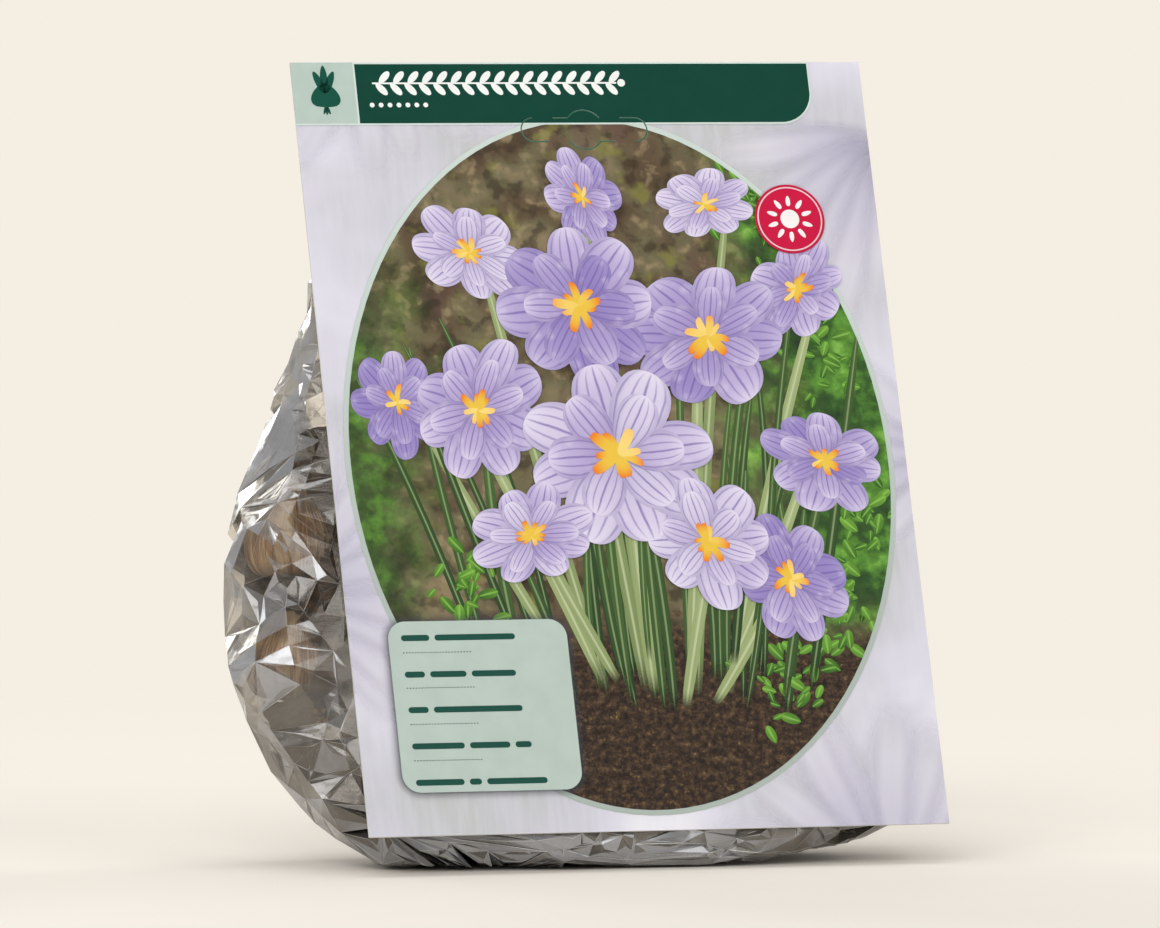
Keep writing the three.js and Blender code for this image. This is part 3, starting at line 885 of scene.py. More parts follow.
def garland():
    shape = blank_print()
    start, end, height = GARLAND
    add_plate(shape, start, height - 0.22, end, height + 0.22, 0.2, BAND_LIFT + 1)
    step = (end - start) / GARLAND_LEAVES
    for i in range(GARLAND_LEAVES):
        for side in (1, -1):
            foot = (start + (i + 0.25 + 0.25 * (side > 0)) * step, height)
            turn = math.radians(-90 + side * 48)
            add_petal(shape, foot, turn, 4.0, 1.75, MARK_LIFT, 0, 0.6, 0.5)
    add_disc(shape, (end + 1.2, height), 1.0, BAND_LIFT + 2)
    left, right, low = DOT_ROW
    for i in range(DOTS):
        add_disc(shape, (left + (right - left) * i / (DOTS - 1), low), 0.62, BAND_LIFT + 1)
    return shape


def sprouting_bulb():
    shape = blank_print()
    u, v = BULB
    add_petal(shape, (u, v), 0, 6.4, 7.4, MARK_LIFT, 0, 0.35, 0.75)
    for turn, length in ((-24, 6.2), (0, 7.2), (24, 6.2)):
        add_petal(shape, (u, v + 3.6), math.radians(turn), length, 1.9, MARK_LIFT, 0, 0.5, 0.6)
    for turn in (-160, 180, 160):
        lift = MARK_LIFT - LAYER
        add_petal(shape, (u, v + 0.5), math.radians(turn), 2.4, 0.7, lift, 0, 0.4, 0.5)
    return shape


print_on_card("print_garland", garland(), ink("white_ink", plain(244, 248, 246)))
print_on_card("print_bulb", sprouting_bulb(), ink("bulb_ink", plain(10, 82, 66)))

# %% Badge
BADGE_LIFT = 27  # in layers of ink
SUN_RAYS = 10


def sun():
    shape = blank_print()
    u, v, radius = BADGE
    add_disc(shape, (u, v), radius * 0.27, BADGE_LIFT + 3, 28)
    for i in range(SUN_RAYS):
        turn = 2 * math.pi * i / SUN_RAYS
        foot = (u - math.sin(turn) * radius * 0.37, v + math.cos(turn) * radius * 0.37)
        lift = (BADGE_LIFT + 3) * LAYER
        add_petal(shape, foot, turn, radius * 0.30, radius * 0.13, lift, 0, 0.4, 0.6)
    return shape


# The badge's rings from below: each one's name, size as a share of the badge's, and colour.
RINGS = (("badge_rim", 1, (196, 20, 66)), ("badge_line", 0.93, (236, 206, 214)),
         ("badge", 0.89, (206, 14, 66)))
badge_u, badge_v, badge_radius = BADGE
for layer, (name, share, colour) in enumerate(RINGS):
    ring = oval_cuts(badge_u, badge_v, badge_radius * share, badge_radius * share)
    print_field(name, ring, BADGE_LIFT + layer, colour)
print_on_card("print_sun", sun(), ink("sun_ink", plain(250, 244, 244)))

# %% [markdown]
# ## The corms
#
# A corm is the flattened, rounded stem that these flowers grow from. It wears several papery
# skins of parallel fibres that run from its base plate up to a tuft at its neck. Each one starts as
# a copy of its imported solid, smoothed by Catmull and Clark's subdivision. Every point of it then
# learns how far round the corm's own axis and how far up it lies, and is moved out by ridges that
# run along the fibres and by the ragged hems of the skins.

# %% Smoothing a shape
def modified(mesh, kind, settings):
    """What a modifier makes of the mesh, as a bmesh. The mesh itself is removed."""
    rough = bpy.data.objects.new("rough", mesh)
    bpy.context.scene.collection.objects.link(rough)
    modifier = rough.modifiers.new("modifier", kind)
    for name, value in settings.items():
        setattr(modifier, name, value)
    finer = bmesh.new()
    finer.from_object(rough, bpy.context.evaluated_depsgraph_get())
    bpy.data.objects.remove(rough)
    bpy.data.meshes.remove(mesh)
    return finer


def subdivided(shape, levels):
    """The shape after Catmull and Clark's subdivision, as a new bmesh."""
    mesh = bpy.data.meshes.new("rough")
    shape.to_mesh(mesh)
    shape.free()
    return modified(mesh, "SUBSURF", {"levels": levels, "render_levels": levels})


# %% A corm's shape
CORM_NODES = sorted(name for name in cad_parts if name.startswith("corm_"))
POLE_EDGES = 16  # as many edges meet at each end of a corm's axis
CORM_LEVELS = 3
ANY_ANGLE = 3.2  # more than half a turn, so that every pair of triangles may join
SKINS = 3
SKIN_STEP = 0.22 * MM
RIDGE = 0.38 * MM
# From this share of the height the ridges gather towards the neck, and get this much higher.
AT_NECK, GATHERED = 0.72, 1.6
ON_AXIS = 0.5 * MM  # points nearer to the axis stay where they are
SUNK = 0.15 * MM  # keeps the ridges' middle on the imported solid


def corm_axis(shape):
    """The base and the neck of a corm: of its two ends the neck is the upper one."""
    poles = [v.co.copy() for v in shape.verts if len(v.link_edges) == POLE_EDGES]
    middle = sum((v.co for v in shape.verts), Vector()) / len(shape.verts)
    first, second = sorted(poles, key=lambda pole: (pole - middle).length)[-2:]
    return (second, first) if first.z > second.z else (first, second)


def skinned_corm(node, number):
    """A packed corm with its ridges and hems. Each point notes where it lies among the fibres."""
    shape = packed_shape(node)
    base, neck = corm_axis(shape)
    up = (neck - base).normalized()
    length = (neck - base).length
    side = up.orthogonal().normalized()
    front = up.cross(side)
    bmesh.ops.join_triangles(shape, faces=shape.faces, angle_face_threshold=ANY_ANGLE,
                             angle_shape_threshold=ANY_ANGLE)
    shape = subdivided(shape, CORM_LEVELS)
    skin = shape.verts.layers.float_vector.new("skin")
    for vert in shape.verts:
        from_base = vert.co - base
        rise = from_base.dot(up) / length
        out = from_base - up * from_base.dot(up)
        turn = math.atan2(out.dot(front), out.dot(side))
        fibre = Vector((math.cos(turn), math.sin(turn), rise * 0.16))
        vert[skin] = fibre
        seed = Vector((0, 0, 7.3 * number))
        ridges = noise.noise(fibre * 7 + seed) + 0.6 * noise.noise(fibre * 17 + seed)
        hem = (rise * SKINS + 0.35 * noise.noise(fibre * 5 - seed)) % 1.0
        gathered = 1 + GATHERED * max(rise - AT_NECK, 0) / (1 - AT_NECK)
        lift = RIDGE * ridges * gathered + SKIN_STEP * (1 - hem)
        if out.length > ON_AXIS:
            vert.co += out.normalized() * (lift - SUNK) + up * 0.2 * ridges * RIDGE
    return shape


# %% A corm's skin
def corm_finish(name, shade):
    f = Finish(name)
    fibre = f.own("skin", "Vector")
    _, _, rise = f.parts(fibre)
    strands = f.noise(fibre, 26, 4, 0.65)
    skins = f.noise(fibre, 5, 3, 0.5, 0.5)
    dusty = f.noise(f.place(), 260, 4, 0.6)
    brown = f.ramp(strands, [(0.30, paint(76, 50, 32)), (0.46, paint(134, 98, 64)),
                             (0.58, paint(184, 148, 104)), (0.72, paint(226, 202, 162))])
    pale = f.mix(brown, paint(218, 192, 152), skins.rising(0.46, 0.64, 0, 0.65))
    dark = f.mix(pale, paint(58, 40, 28), (1 - rise.rising(0.0, 0.03)) * 0.6)
    aged = f.mix(dark, paint(*shade), 0.25)
    sockets = {"Base Color": f.mix(aged, paint(74, 58, 44), dusty.rising(0.5, 0.75, 0, 0.25)),
               "Roughness": strands.rising(0.3, 0.7, 0.82, 0.6),
               "Specular IOR Level": 0.3,
               "Normal": f.bump(strands + skins * 0.5, 0.5 * MM, 0.8)}
    return f.surface(sockets)


# %% The twelve corms
SHADES = ((150, 116, 82), (176, 144, 108), (128, 96, 70))
corm_finishes = [corm_finish(f"corm_skin_{i + 1}", shade) for i, shade in enumerate(SHADES)]
content_points, content_faces = [], []
for number, node in enumerate(CORM_NODES):
    corm = skinned_corm(node, number)
    content_faces += [[len(content_points) + v.index for v in f.verts] for f in corm.faces]
    content_points += [v.co.copy() for v in corm.verts]
    piece = make_piece(f"{node}_skinned", corm, corm_finishes[number % len(SHADES)])
    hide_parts(node)
corm_tree = BVHTree.FromPolygons(content_points, content_faces)
print("points on the corms:", len(content_points))

# %% [markdown]
# ## The peat
#
# Dry peat fills the bag between the corms. It is fibrous and crumbly, almost black where it is
# fine, with brown shreds in it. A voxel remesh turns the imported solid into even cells, and noise of
# three sizes then moves its surface in and out. Where it would run into a corm it is pressed away.

# %% Peat bed
PEAT_CELL = 1.9 * MM
CRUMB_SIZE = 0.9  # in millimetres
CLEAR_OF_CORM = 0.25 * MM


def pressed_back(shape, tree, clearance):
    """Moves points out of what the tree holds, and returns how many it moved."""
    moved = 0
    for vert in shape.verts:
        spot, outward, _, distance = tree.find_nearest(vert.co)
        inside = (vert.co - spot).dot(outward) < 0
        if inside or distance < clearance:
            vert.co = spot + outward * clearance
            moved += 1
    return moved


def crumbly_peat():
    """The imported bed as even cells, moved in and out by clods, crumbs and cracks."""
    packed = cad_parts["peat_bed"].data.copy()
    shape = modified(packed, "REMESH", {"mode": "VOXEL", "voxel_size": PEAT_CELL})
    shape.normal_update()
    for vert, outward in [(v, v.normal.copy()) for v in shape.verts]:
        coarse = noise.noise(vert.co / (9 * MM))
        fine = noise.noise(vert.co / (3.1 * MM)) * 0.8
        crumb = abs(noise.noise(vert.co / (5 * MM) + Vector((5, 0, 0)))) * 1.2
        vert.co += outward * (coarse + fine - crumb) * CRUMB_SIZE * MM
    return shape


peat = crumbly_peat()
print("peat points pressed back from the corms:", pressed_back(peat, corm_tree, CLEAR_OF_CORM))


# %% Dry peat
def peat_finish():
    f = Finish("dry_peat")
    place = f.place()
    shreds = f.noise(f.stretch(place, (1, 1, 2.2)), 260, 7, 0.7)
    clods = f.noise(place, 60, 4, 0.6)
    brown = f.ramp(shreds, [(0.34, paint(34, 26, 22)), (0.48, paint(62, 48, 38)),
                            (0.60, paint(98, 76, 56)), (0.74, paint(158, 130, 96))])
    chips = f.node("TexVoronoi", None, {"Vector": place, "Scale": 330, "Randomness": 1.0})
    bright = (1 - chips.rising(0.1, 0.32)) * clods.rising(0.5, 0.6)
    chipped = f.mix(brown, paint(150, 118, 80), bright)
    shaded = f.mix(chipped, paint(48, 38, 32), clods.rising(0.42, 0.62, 0.5, 0))
    return f.surface({"Base Color": shaded, "Roughness": 0.95, "Specular IOR Level": 0.15,
                      "Normal": f.bump(shreds + clods, 1.2 * MM, 0.9)})


peat_points = [v.co.copy() for v in peat.verts]
peat_faces = [[v.index for v in f.verts] for f in peat.faces]
peat_tree = BVHTree.FromPolygons(peat_points, peat_faces)
peat_piece = make_piece("peat_crumbly", peat, peat_finish())
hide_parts("peat_bed")

# %% [markdown]
# ## Measuring the bag
#
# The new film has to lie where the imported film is. Level rays from outside find its outer surface
# at many heights, all the way round, and each ring of hits is then spaced evenly along its own
# length. Together the rings are a chart of the bag: any place on it is a share of the way round,
# from the middle of the card's side over the right side and the back to the left, and a distance
# up it.

# %% A chart of the bag
VENT_HEIGHTS, VENT_ACROSS = (118, 134), (-36, 0, 36)  # across from the card's middle
VENT_RADIUS = 2.5
LEVELS = [0.4, 1, 2, 3.2, 4.6, 6.2, 8, 10, 13, *range(16, 152, 4), 154, 158, 162, 166.6]
# A level ray through an air hole would miss the film, so the rings keep clear of them.
CLEAR_OF_VENT = VENT_RADIUS + 0.6
RING_HEIGHTS = [z for z in LEVELS if all(abs(z - vent) > CLEAR_OF_VENT for vent in VENT_HEIGHTS)]
RAYS, RING_POINTS = 360, 240
BOTTOM_ROWS = 4
SEAM_LENGTH, SEAM_GAP = 0.94, 0.1 * MM  # the length is a share of the lowest ring's
FAR = 1.0  # rays start this far off, in metres
bag_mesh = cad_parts["bag_film"].data
bag_tree = BVHTree.FromPolygons([v.co for v in bag_mesh.vertices],
                                [f.vertices for f in bag_mesh.polygons])
BAG_LOW, BAG_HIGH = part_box("bag_film")


def first_hit(place, direction):
    start = Vector(place) - Vector(direction) * FAR
    return bag_tree.ray_cast(start, direction, 2 * FAR)[0]


def ring_at(height):
    """Evenly spaced places round the bag at this height, and how long the way round is."""
    across = (BAG_LOW.x + BAG_HIGH.x) / 2
    front, behind = (first_hit((across, 0, height), (0, way, 0)) for way in (1, -1))
    middle = Vector((across, (front.y + behind.y) / 2, height))
    sides = [first_hit(middle, (way, 0, 0)) for way in (1, -1)]
    half_width = min(abs(side.x - across) for side in sides)
    hits = []
    for i in range(RAYS):
        turn = 2 * math.pi * i / RAYS
        away = Vector((math.sin(turn) * half_width, -math.cos(turn) * (behind.y - front.y) / 2, 0))
        hits.append(first_hit(middle, -away.normalized()))
    hits = np.array(hits + hits[:1])
    walk = np.concatenate([[0], np.cumsum(np.linalg.norm(np.diff(hits, axis=0), axis=1))])
    even = np.linspace(0, walk[-1], RING_POINTS + 1)
    return np.stack([np.interp(even, walk, hits[:, axis]) for axis in range(3)], axis=1), walk[-1]


# %% The rings
rings, girths = zip(*(ring_at(height * MM) for height in RING_HEIGHTS))
lowest = rings[0]
seam = lowest.copy()  # the bottom closes on a line along its middle
seam[:, 1] = lowest[:, 1].mean()
seam[:, 0] = lowest[:, 0].mean() + SEAM_LENGTH * (lowest[:, 0] - lowest[:, 0].mean())
seam[:, 1] += SEAM_GAP * np.sign(lowest[:, 1] - seam[:, 1])
bottom = [seam + (lowest - seam) * i / BOTTOM_ROWS for i in range(BOTTOM_ROWS)]
CHART = np.array([*bottom, *rings])
steps = np.linalg.norm(np.diff(CHART, axis=0), axis=2).mean(axis=1)
UPS = np.concatenate([[0], np.cumsum(steps)])  # how far up the chart each ring lies
GIRTH = float(np.median(girths))
print("the bag is", round(GIRTH / MM), "mm round and", round(UPS[-1] / MM), "mm from seam to seam")


# %% Places on the chart
def chart_row(up):
    """The chart's row under this place, and the place's share of the way to the next row."""
    row = min(max(int(np.searchsorted(UPS, up, side="right")) - 1, 0), len(UPS) - 2)
    return row, (up - UPS[row]) / (UPS[row + 1] - UPS[row])


def on_bag(around, up):
    """The place on the bag's plain surface. around is in metres, up to the girth."""
    columns = min(max(around / GIRTH, 0), 1) * RING_POINTS
    column = min(int(columns), RING_POINTS - 1)
    row, rise = chart_row(up)
    aside = columns - column
    low = CHART[row, column] * (1 - aside) + CHART[row, column + 1] * aside
    high = CHART[row + 1, column] * (1 - aside) + CHART[row + 1, column + 1] * aside
    return Vector(low * (1 - rise) + high * rise)


def away_from_bag(around, up, reach=3 * MM):
    """The direction straight off the bag's plain surface."""
    left, right = on_bag(around - reach, up), on_bag(around + reach, up)
    low, high = on_bag(around, max(up - reach, 0)), on_bag(around, min(up + reach, UPS[-1]))
    return (right - left).cross(high - low).normalized()


def up_at(height):
    """How far up the chart this height above the floor lies."""
    return float(np.interp(height, CHART[:, 0, 2], UPS))


print("half way up at the back:", [round(x / MM, 1) for x in on_bag(GIRTH / 2, up_at(80 * MM))])

# %% [markdown]
# ## The wall rolled out flat
#
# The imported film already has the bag's main folds: a net of facets, and long folds down the left
# side beside the card. They were drawn on the wall rolled out flat, where across is the way round
# and up is the height. The same drawing is repeated here, from the same sizes, so that the new
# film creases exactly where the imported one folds.

# %% From the rolled-out wall to the chart
ROLLED_OUT = 360  # the whole way round, in mm
ROLL_WIDTH, ROLL_DEPTH, ROLL_TOP = 36, 28, 158  # the oval that the wall is rolled out from
CARD_THICKNESS = -min((p - CARD_CORNER).dot(CARD_OUT) for p in card_points)


def rolled_out(places):
    """The way round to each place, by its angle in an oval that gets shallower upwards."""
    height = places[..., 2] / MM
    depth = ROLL_DEPTH * np.sqrt(np.maximum(1 - height / ROLL_TOP, 0.01))
    lean = (places[..., 2] - CARD_CORNER.z) * CARD_UP.y / CARD_UP.z
    behind = (places[..., 1] - CARD_CORNER.y - lean - CARD_THICKNESS / CARD_UP.z) / MM
    across = (places[..., 0] - CARD_CORNER.x) / MM - CARD_WIDTH / 2
    angle = np.arctan2(across / ROLL_WIDTH, (depth - behind) / depth)
    return np.maximum.accumulate(ROLLED_OUT * np.unwrap(angle, axis=-1) / (2 * math.pi), axis=-1)


ROLLED = rolled_out(CHART)


def chart_place(across, height):
    """Where a place of the rolled-out wall is on the chart: how far round, and how far up."""
    up = up_at(height * MM)
    row, share = chart_row(up)
    low, high = (np.interp(across, ROLLED[i], np.arange(RING_POINTS + 1)) for i in (row, row + 1))
    return (low * (1 - share) + high * share) / RING_POINTS * GIRTH, up


print("a quarter round, 80 mm up:", [round(x / MM, 1) for x in on_bag(*chart_place(90, 80))])

# %% [markdown]
# ## The film's folds
#
# Crumpled film is a net of nearly flat facets with sharp creases between them. Moving the points
# of a regular grid would make the creases zigzag across its cells, so the net is made the other way
# round: the folds come first. The main facets, the long folds and the gathers under the top weld
# are drawn as lines, and so are pleats beside the card, small folds under it and free ones all
# round. Loose points are scattered round them, and Delaunay's rule joins everything into triangles
# with the lines kept as edges. A second round of points, closer together, adds small facets.

# %% The main folds
FACET_COLUMNS, FACET_RISE, FACET_ROWS, FACET_DRIFT, FACET_DEPTH = 20, 17, 11, 0.3, 3
# Each long fold is a line of places: across, up, and how far it stands out.
LONG_FOLDS = [
    [(276, 141, 0.6), (286, 124, 1.8), (279, 107, 1.8), (277, 90, 2), (273, 79, 1.4)],
    [(250, 88, 0.4), (264, 82, -1.6), (273, 79, 1.4)],
    [(254, 113, 0.8), (279, 107, 1.8)],
    [(253, 74, 0.8), (264, 67, 1.6), (275, 62, 1.4)],
    [(286, 60, -1.4), (275, 62, 1.4), (277, 53, 1.6), (277, 44, 1.4), (285, 38, -0.8)],
    [(252, 54, 0.8), (263, 40, 1.8), (268, 29, 1.8), (274, 17, 0.8)],
    [(254, 36, 0.2), (260, 32, 1.2), (268, 29, 1.8)],
    [(256, 22, 0.8), (264, 16, -1.2), (273, 9, 1)],
    [(284, 30, 1.4), (288, 20, -1), (288, 11, 0.8)],
    [(268, 58, -1.8), (270, 49, -1.6)],
]
SHARPER = 0.3  # the share of a fold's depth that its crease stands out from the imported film
LONG_FOLD_REACH = 5
CREASE_STEP = 5  # between the points of a crease
SEAL_LOW = 150  # from here up the walls are pressed together


def chance(column, row, use):
    """A number from 0 to 1 that looks random, the same each time for the same corner and use."""
    return 43758.5453 * math.sin(12.9898 * column + 78.233 * row + 37.719 * use) % 1


def facet_corner(column, row):
    """A corner of the main facets: across, up, and how far it stands out."""
    aside, upward, out = (2 * chance(column % FACET_COLUMNS, row, use) - 1 for use in range(3))
    across = (column - row / 2 + FACET_DRIFT * aside) * ROLLED_OUT / FACET_COLUMNS
    return Vector((across, (row - 1 + FACET_DRIFT * upward) * FACET_RISE, out * FACET_DEPTH))


def long_fold_near(place):
    for fold in LONG_FOLDS:
        for start, end in zip(fold, fold[1:]):
            start, end = Vector(start[:2]), Vector(end[:2])
            _, share = intersect_point_line(place.to_2d(), start, end)
            if (start.lerp(end, min(max(share, 0), 1)) - place.to_2d()).length < LONG_FOLD_REACH:
                return True
    return False


def main_creases():
    """The edges of the main facets, each from one corner to the next along, up and across."""
    for row in range(FACET_ROWS):
        for column in range(FACET_COLUMNS + FACET_ROWS // 2 + 1):
            corner = facet_corner(column, row)
            for aside, upward in ((1, 0), (0, 1), (1, 1)):
                other = facet_corner(column + aside, row + upward)
                crease = (corner, other)
                inside = all(0 < p.x < ROLLED_OUT and 1 < p.y < SEAL_LOW for p in crease)
                if inside and not any(long_fold_near(p) for p in crease):
                    yield crease


print("edges of main facets:", len(list(main_creases())))

# %% Where the film may fold
# Heights and distances over which the film gets free: from the weld, the foot and the card.
WELD_HOLD, FOOT_HOLD, CARD_GAP = 16, 10, 6
UNDER_CARD = 0.8  # how free it is under the card's lower edge
SMOOTH_PATCH = (262, 104, 34)  # across, up and size of the smooth part high on the left side
SMOOTH_MIDDLE = Vector(chart_place(*SMOOTH_PATCH[:2])) / MM
ROUGH_FOOT = 90  # below this the film is rougher, the more the lower


def room_for_folds(around, up):
    """From 0 where the film is held, against the card or in the weld, to 1 where it is free."""
    place = on_bag(around, up)
    behind_card = (CARD_CORNER - place).dot(CARD_OUT) / MM
    held = min(max(behind_card / CARD_GAP, 0.12), 1) if place.z > CARD_CORNER.z else UNDER_CARD
    weld = min(max((SEAL_LOW * MM - place.z) / (WELD_HOLD * MM), 0), 1)
    foot = min(max(up / (FOOT_HOLD * MM), 0.1), 1)
    return held * weld * foot


def roughness_at(place):
    """Less small crumpling in the smooth patch, and more towards the bag's foot."""
    away = (place - SMOOTH_MIDDLE).length / SMOOTH_PATCH[2]
    return min(max(away, 0.25), 1) * (1 + 0.8 * max(0, 1 - place.y / ROUGH_FOOT))


print("room for folds half way up at the back:", room_for_folds(GIRTH / 2, up_at(80 * MM)))


# %% The net of creases
JITTER = 0.36  # how far a scattered place strays, as a share of the spacing
CROWDED = 0.45  # a place nearer than this share of the spacing to another is left out


class Net:
    """Places on the chart, in millimetres, how far each stands out, and the creases among them."""

    def __init__(self):
        self.places, self.depths, self.creases = [], [], []

    def add(self, around, up, depth):
        self.places.append(Vector((around / MM, up / MM)))
        self.depths.append(depth)
        return len(self.places) - 1

    def line(self, stations):
        """A crease through the stations, with points all along it."""
        spots = [self.add(*stations[0])]
        for start, end in zip(stations, stations[1:]):
            start, end = Vector(start), Vector(end)
            steps = max(round((end - start).to_2d().length / (CREASE_STEP * MM)), 1)
            spots += [self.add(*start.lerp(end, i / steps)) for i in range(1, steps + 1)]
        self.creases += zip(spots, spots[1:])

    def joined(self):
        """Triangles between the places. Places that Delaunay's rule adds where creases cross get
        the depth of a neighbour."""
        points, edges, faces, sources, *_ = delaunay_2d_cdt(
            self.places, self.creases, [], 0, 1e-3)
        depths = [self.depths[source[0]] if source else None for source in sources]
        for edge in edges * 2:
            for one, other in (edge, edge[::-1]):
                if depths[one] is None and depths[other] is not None:
                    depths[one] = depths[other]
        self.places, self.depths, self.creases = list(points), depths, list(edges)
        return faces

    def scatter(self, spacing, depth):
        """Adds loose places, each up to this depth off the folds so far, and counts them all."""
        faces = self.joined()
        heights = [(p.x, p.y, d) for p, d in zip(self.places, self.depths)]
        folded = BVHTree.FromPolygons(heights, faces)
        near = {}
        for place in self.places:
            near.setdefault((int(place.x // spacing), int(place.y // spacing)), []).append(place)
        rows, columns = int(UPS[-1] / MM / spacing), int(GIRTH / MM / spacing)
        for row in range(rows):
            for column in range(columns):
                x = column + 0.5 + rng.uniform(-JITTER, JITTER) + 0.25 * (-1) ** row
                y = row + 0.5 + rng.uniform(-JITTER, JITTER)
                place = Vector((x * GIRTH / MM / columns, y * UPS[-1] / MM / rows))
                swing = rng.uniform(-1.0, 0.8) * depth
                cell = (int(place.x // spacing), int(place.y // spacing))
                around = [p for i in (-1, 0, 1) for j in (-1, 0, 1)
                          for p in near.get((cell[0] + i, cell[1] + j), [])]
                if any((place - p).length < CROWDED * spacing for p in around):
                    continue
                ground = folded.ray_cast((*place, 50), (0, 0, -1))[0]
                if ground is None:
                    continue
                room = room_for_folds(place.x * MM, place.y * MM) * roughness_at(place)
                self.add(place.x * MM, place.y * MM, ground.z + swing * room)
        return len(self.places)


def free_fold(start, turn, length, depth, draw=rng):
    """A fold of a few straight stretches that gets shallower."""
    stations, place, heading = [], Vector(start), turn
    for _ in range(4):
        around, up = place
        if not (6 * MM < around < GIRTH - 6 * MM and 4 * MM < up < UPS[-1] - 4 * MM):
            break
        stations.append((around, up, depth * room_for_folds(around, up)))
        heading += draw.uniform(-0.35, 0.35)
        place = place + Vector((math.cos(heading), math.sin(heading))) * length / 3
        depth *= draw.uniform(0.4, 1.0)
    return stations


# %% Borders and main folds in the net
BORDER_STEP = 5 * MM
WELD_LINES = (147, 150, 153.5, 157, 160, 163)  # the film bends along these heights, and only there

net = Net()
border_rows = np.linspace(0, UPS[-1], int(UPS[-1] / BORDER_STEP) + 1)
for around in (0, GIRTH):
    net.line([(around, up, 0) for up in border_rows])
for up in (0, UPS[-1]):
    border = np.linspace(0, GIRTH, int(GIRTH / BORDER_STEP) // 2 * 2 + 1)[1:-1]
    net.line([(around, up, 0) for around in border])
for height in WELD_LINES:
    net.line([(around, up_at(height * MM), 0) for around in np.linspace(0, GIRTH, 5)[1:-1]])
for crease in [*main_creases(), *LONG_FOLDS]:
    net.line([(*chart_place(across, height), depth * SHARPER) for across, height, depth in crease])
large_faces = net.joined()
large_places = list(net.places)
large_corners = [on_bag(*(p * MM)) for p in large_places]
large_net = BVHTree.FromPolygons([(*p, 0) for p in large_places], large_faces)
print("large facets:", len(large_faces))

# %% Smaller folds in the net
GATHERS, GATHER_LENGTH = 18, (14, 34)  # folds that fan down from the top weld
SIDE_PLEATS, SIDE_PLEAT_LENGTH = 5, (26, 44)  # folds that run down beside the card's left edge
FOOT_FOLDS, FOOT_REACH, FOOT_LENGTH = 16, 66, (8, 18)  # folds under the card's lower edge
FREE_FOLDS, FREE_LENGTH = 26, (10, 34)
DOWN = -math.pi / 2
weld_up = up_at(SEAL_LOW * MM)
for i in range(GATHERS):
    start = (GIRTH * (0.27 + 0.40 * (i + rng.uniform(-0.3, 0.3)) / (GATHERS - 1)), weld_up)
    length = rng.uniform(*GATHER_LENGTH) * MM
    turn = DOWN + rng.uniform(-0.3, 0.3)
    net.line(free_fold(start, turn, length, 1.5 * (-1) ** i))
for i in range(SIDE_PLEATS):
    across, height = 283 + 3.5 * i + rng.uniform(-1, 1), rng.uniform(92, 114)
    length = rng.uniform(*SIDE_PLEAT_LENGTH) * MM
    turn = DOWN + rng.uniform(-0.12, 0.12)
    net.line(free_fold(chart_place(across, height), turn, length, 1.1 * (-1) ** i))
foot_draw = random.Random(5)  # draws of their own, so that these folds change no others
for i in range(FOOT_FOLDS):
    across = FOOT_REACH * (2 * (i + foot_draw.uniform(0.2, 0.8)) / FOOT_FOLDS - 1)
    start = chart_place(across % ROLLED_OUT, foot_draw.uniform(3, 8))
    turn = foot_draw.uniform(0.3, 1.3) * (-1) ** i
    length, depth = foot_draw.uniform(*FOOT_LENGTH) * MM, foot_draw.choice((-0.9, 0.9))
    fold = free_fold(start, turn, length, depth, foot_draw)
    if fold:
        net.line(fold)
for i in range(FREE_FOLDS):
    start = (GIRTH * rng.uniform(0.12, 0.88), rng.uniform(0.2, 0.8) * UPS[-1])
    turn = rng.uniform(0, math.pi)
    length = rng.uniform(*FREE_LENGTH) * MM
    net.line(free_fold(start, turn, length, rng.choice((-0.7, -0.4, 0.6))))

# %% Loose places in the net
SCATTERS = ((8.5, 0.32), (4.6, 0.13))  # spacing and depth of each round, in mm
for spacing, depth in SCATTERS:
    print("places in the net after a round of", spacing, "mm:", net.scatter(spacing, depth))
net_faces = net.joined()
print("facets:", len(net_faces))

# %% [markdown]
# ## From net to film
#
# Each place of the net goes onto the bag and stands out from it by its depth. The two ends of the
# chart meet in the middle of the card's side and are welded. The film must lie outside its
# contents, so points that fall into a corm or the peat are pressed out, and it stays behind the
# card and above the floor. Sharp creases get a narrow bevel: on real film a crease is a thin round
# edge that catches the light along its length, and it turns a little white where it was pinched.
# The finish paints the creases whiter still, which is partly that whitening and partly a painted
# highlight along each crease.
#
# In a real room clear film mirrors bright windows and dark corners, and each facet catches another
# one. A few lamps can't do that, so each facet notes a sheen that depends on its own turn and on
# that of the large facet it is part of, and its finish mirrors more where the sheen is high. The
# sheen is a painted reflection: it also paints those facets a cooler grey.

# %% Places on the film
FLATNESS = 0.85  # how nearly the film follows the flat facets, and not the bag's round form
DEEPEST_CUT = 1.3 * MM  # a corm under the film keeps it from going flat
ABOVE_FLOOR = 0.02 * MM
BACK_REACH = 60  # the air holes lie within this many ring points of the back's middle


def vent_places():
    """The middles of the air holes on the chart, from where they are on the bag's back."""
    first, last = RING_POINTS // 2 - BACK_REACH, RING_POINTS // 2 + BACK_REACH
    for height in VENT_HEIGHTS:
        up = up_at(height * MM)
        back = CHART[int(np.argmin(abs(UPS - up))), first:last + 1, 0]
        for across in VENT_ACROSS:
            x = CARD_CORNER.x + (CARD_WIDTH / 2 + across) * MM
            yield np.interp(-x, -back, np.arange(first, last + 1)) / RING_POINTS * GIRTH, up


def large_facet(place):
    """The corners of the large facet round this place, or none on the border."""
    _, _, face, _ = large_net.ray_cast((*place, 1), (0, 0, -1))
    return [] if face is None else large_faces[face]


def on_large_facet(place):
    """The place on the flat facet that spans the main creases round it."""
    corners = large_facet(place)
    if not corners:
        return on_bag(*(place * MM))
    return barycentric_transform(place.to_3d(), *(large_places[i].to_3d() for i in corners),
                                 *(large_corners[i] for i in corners))


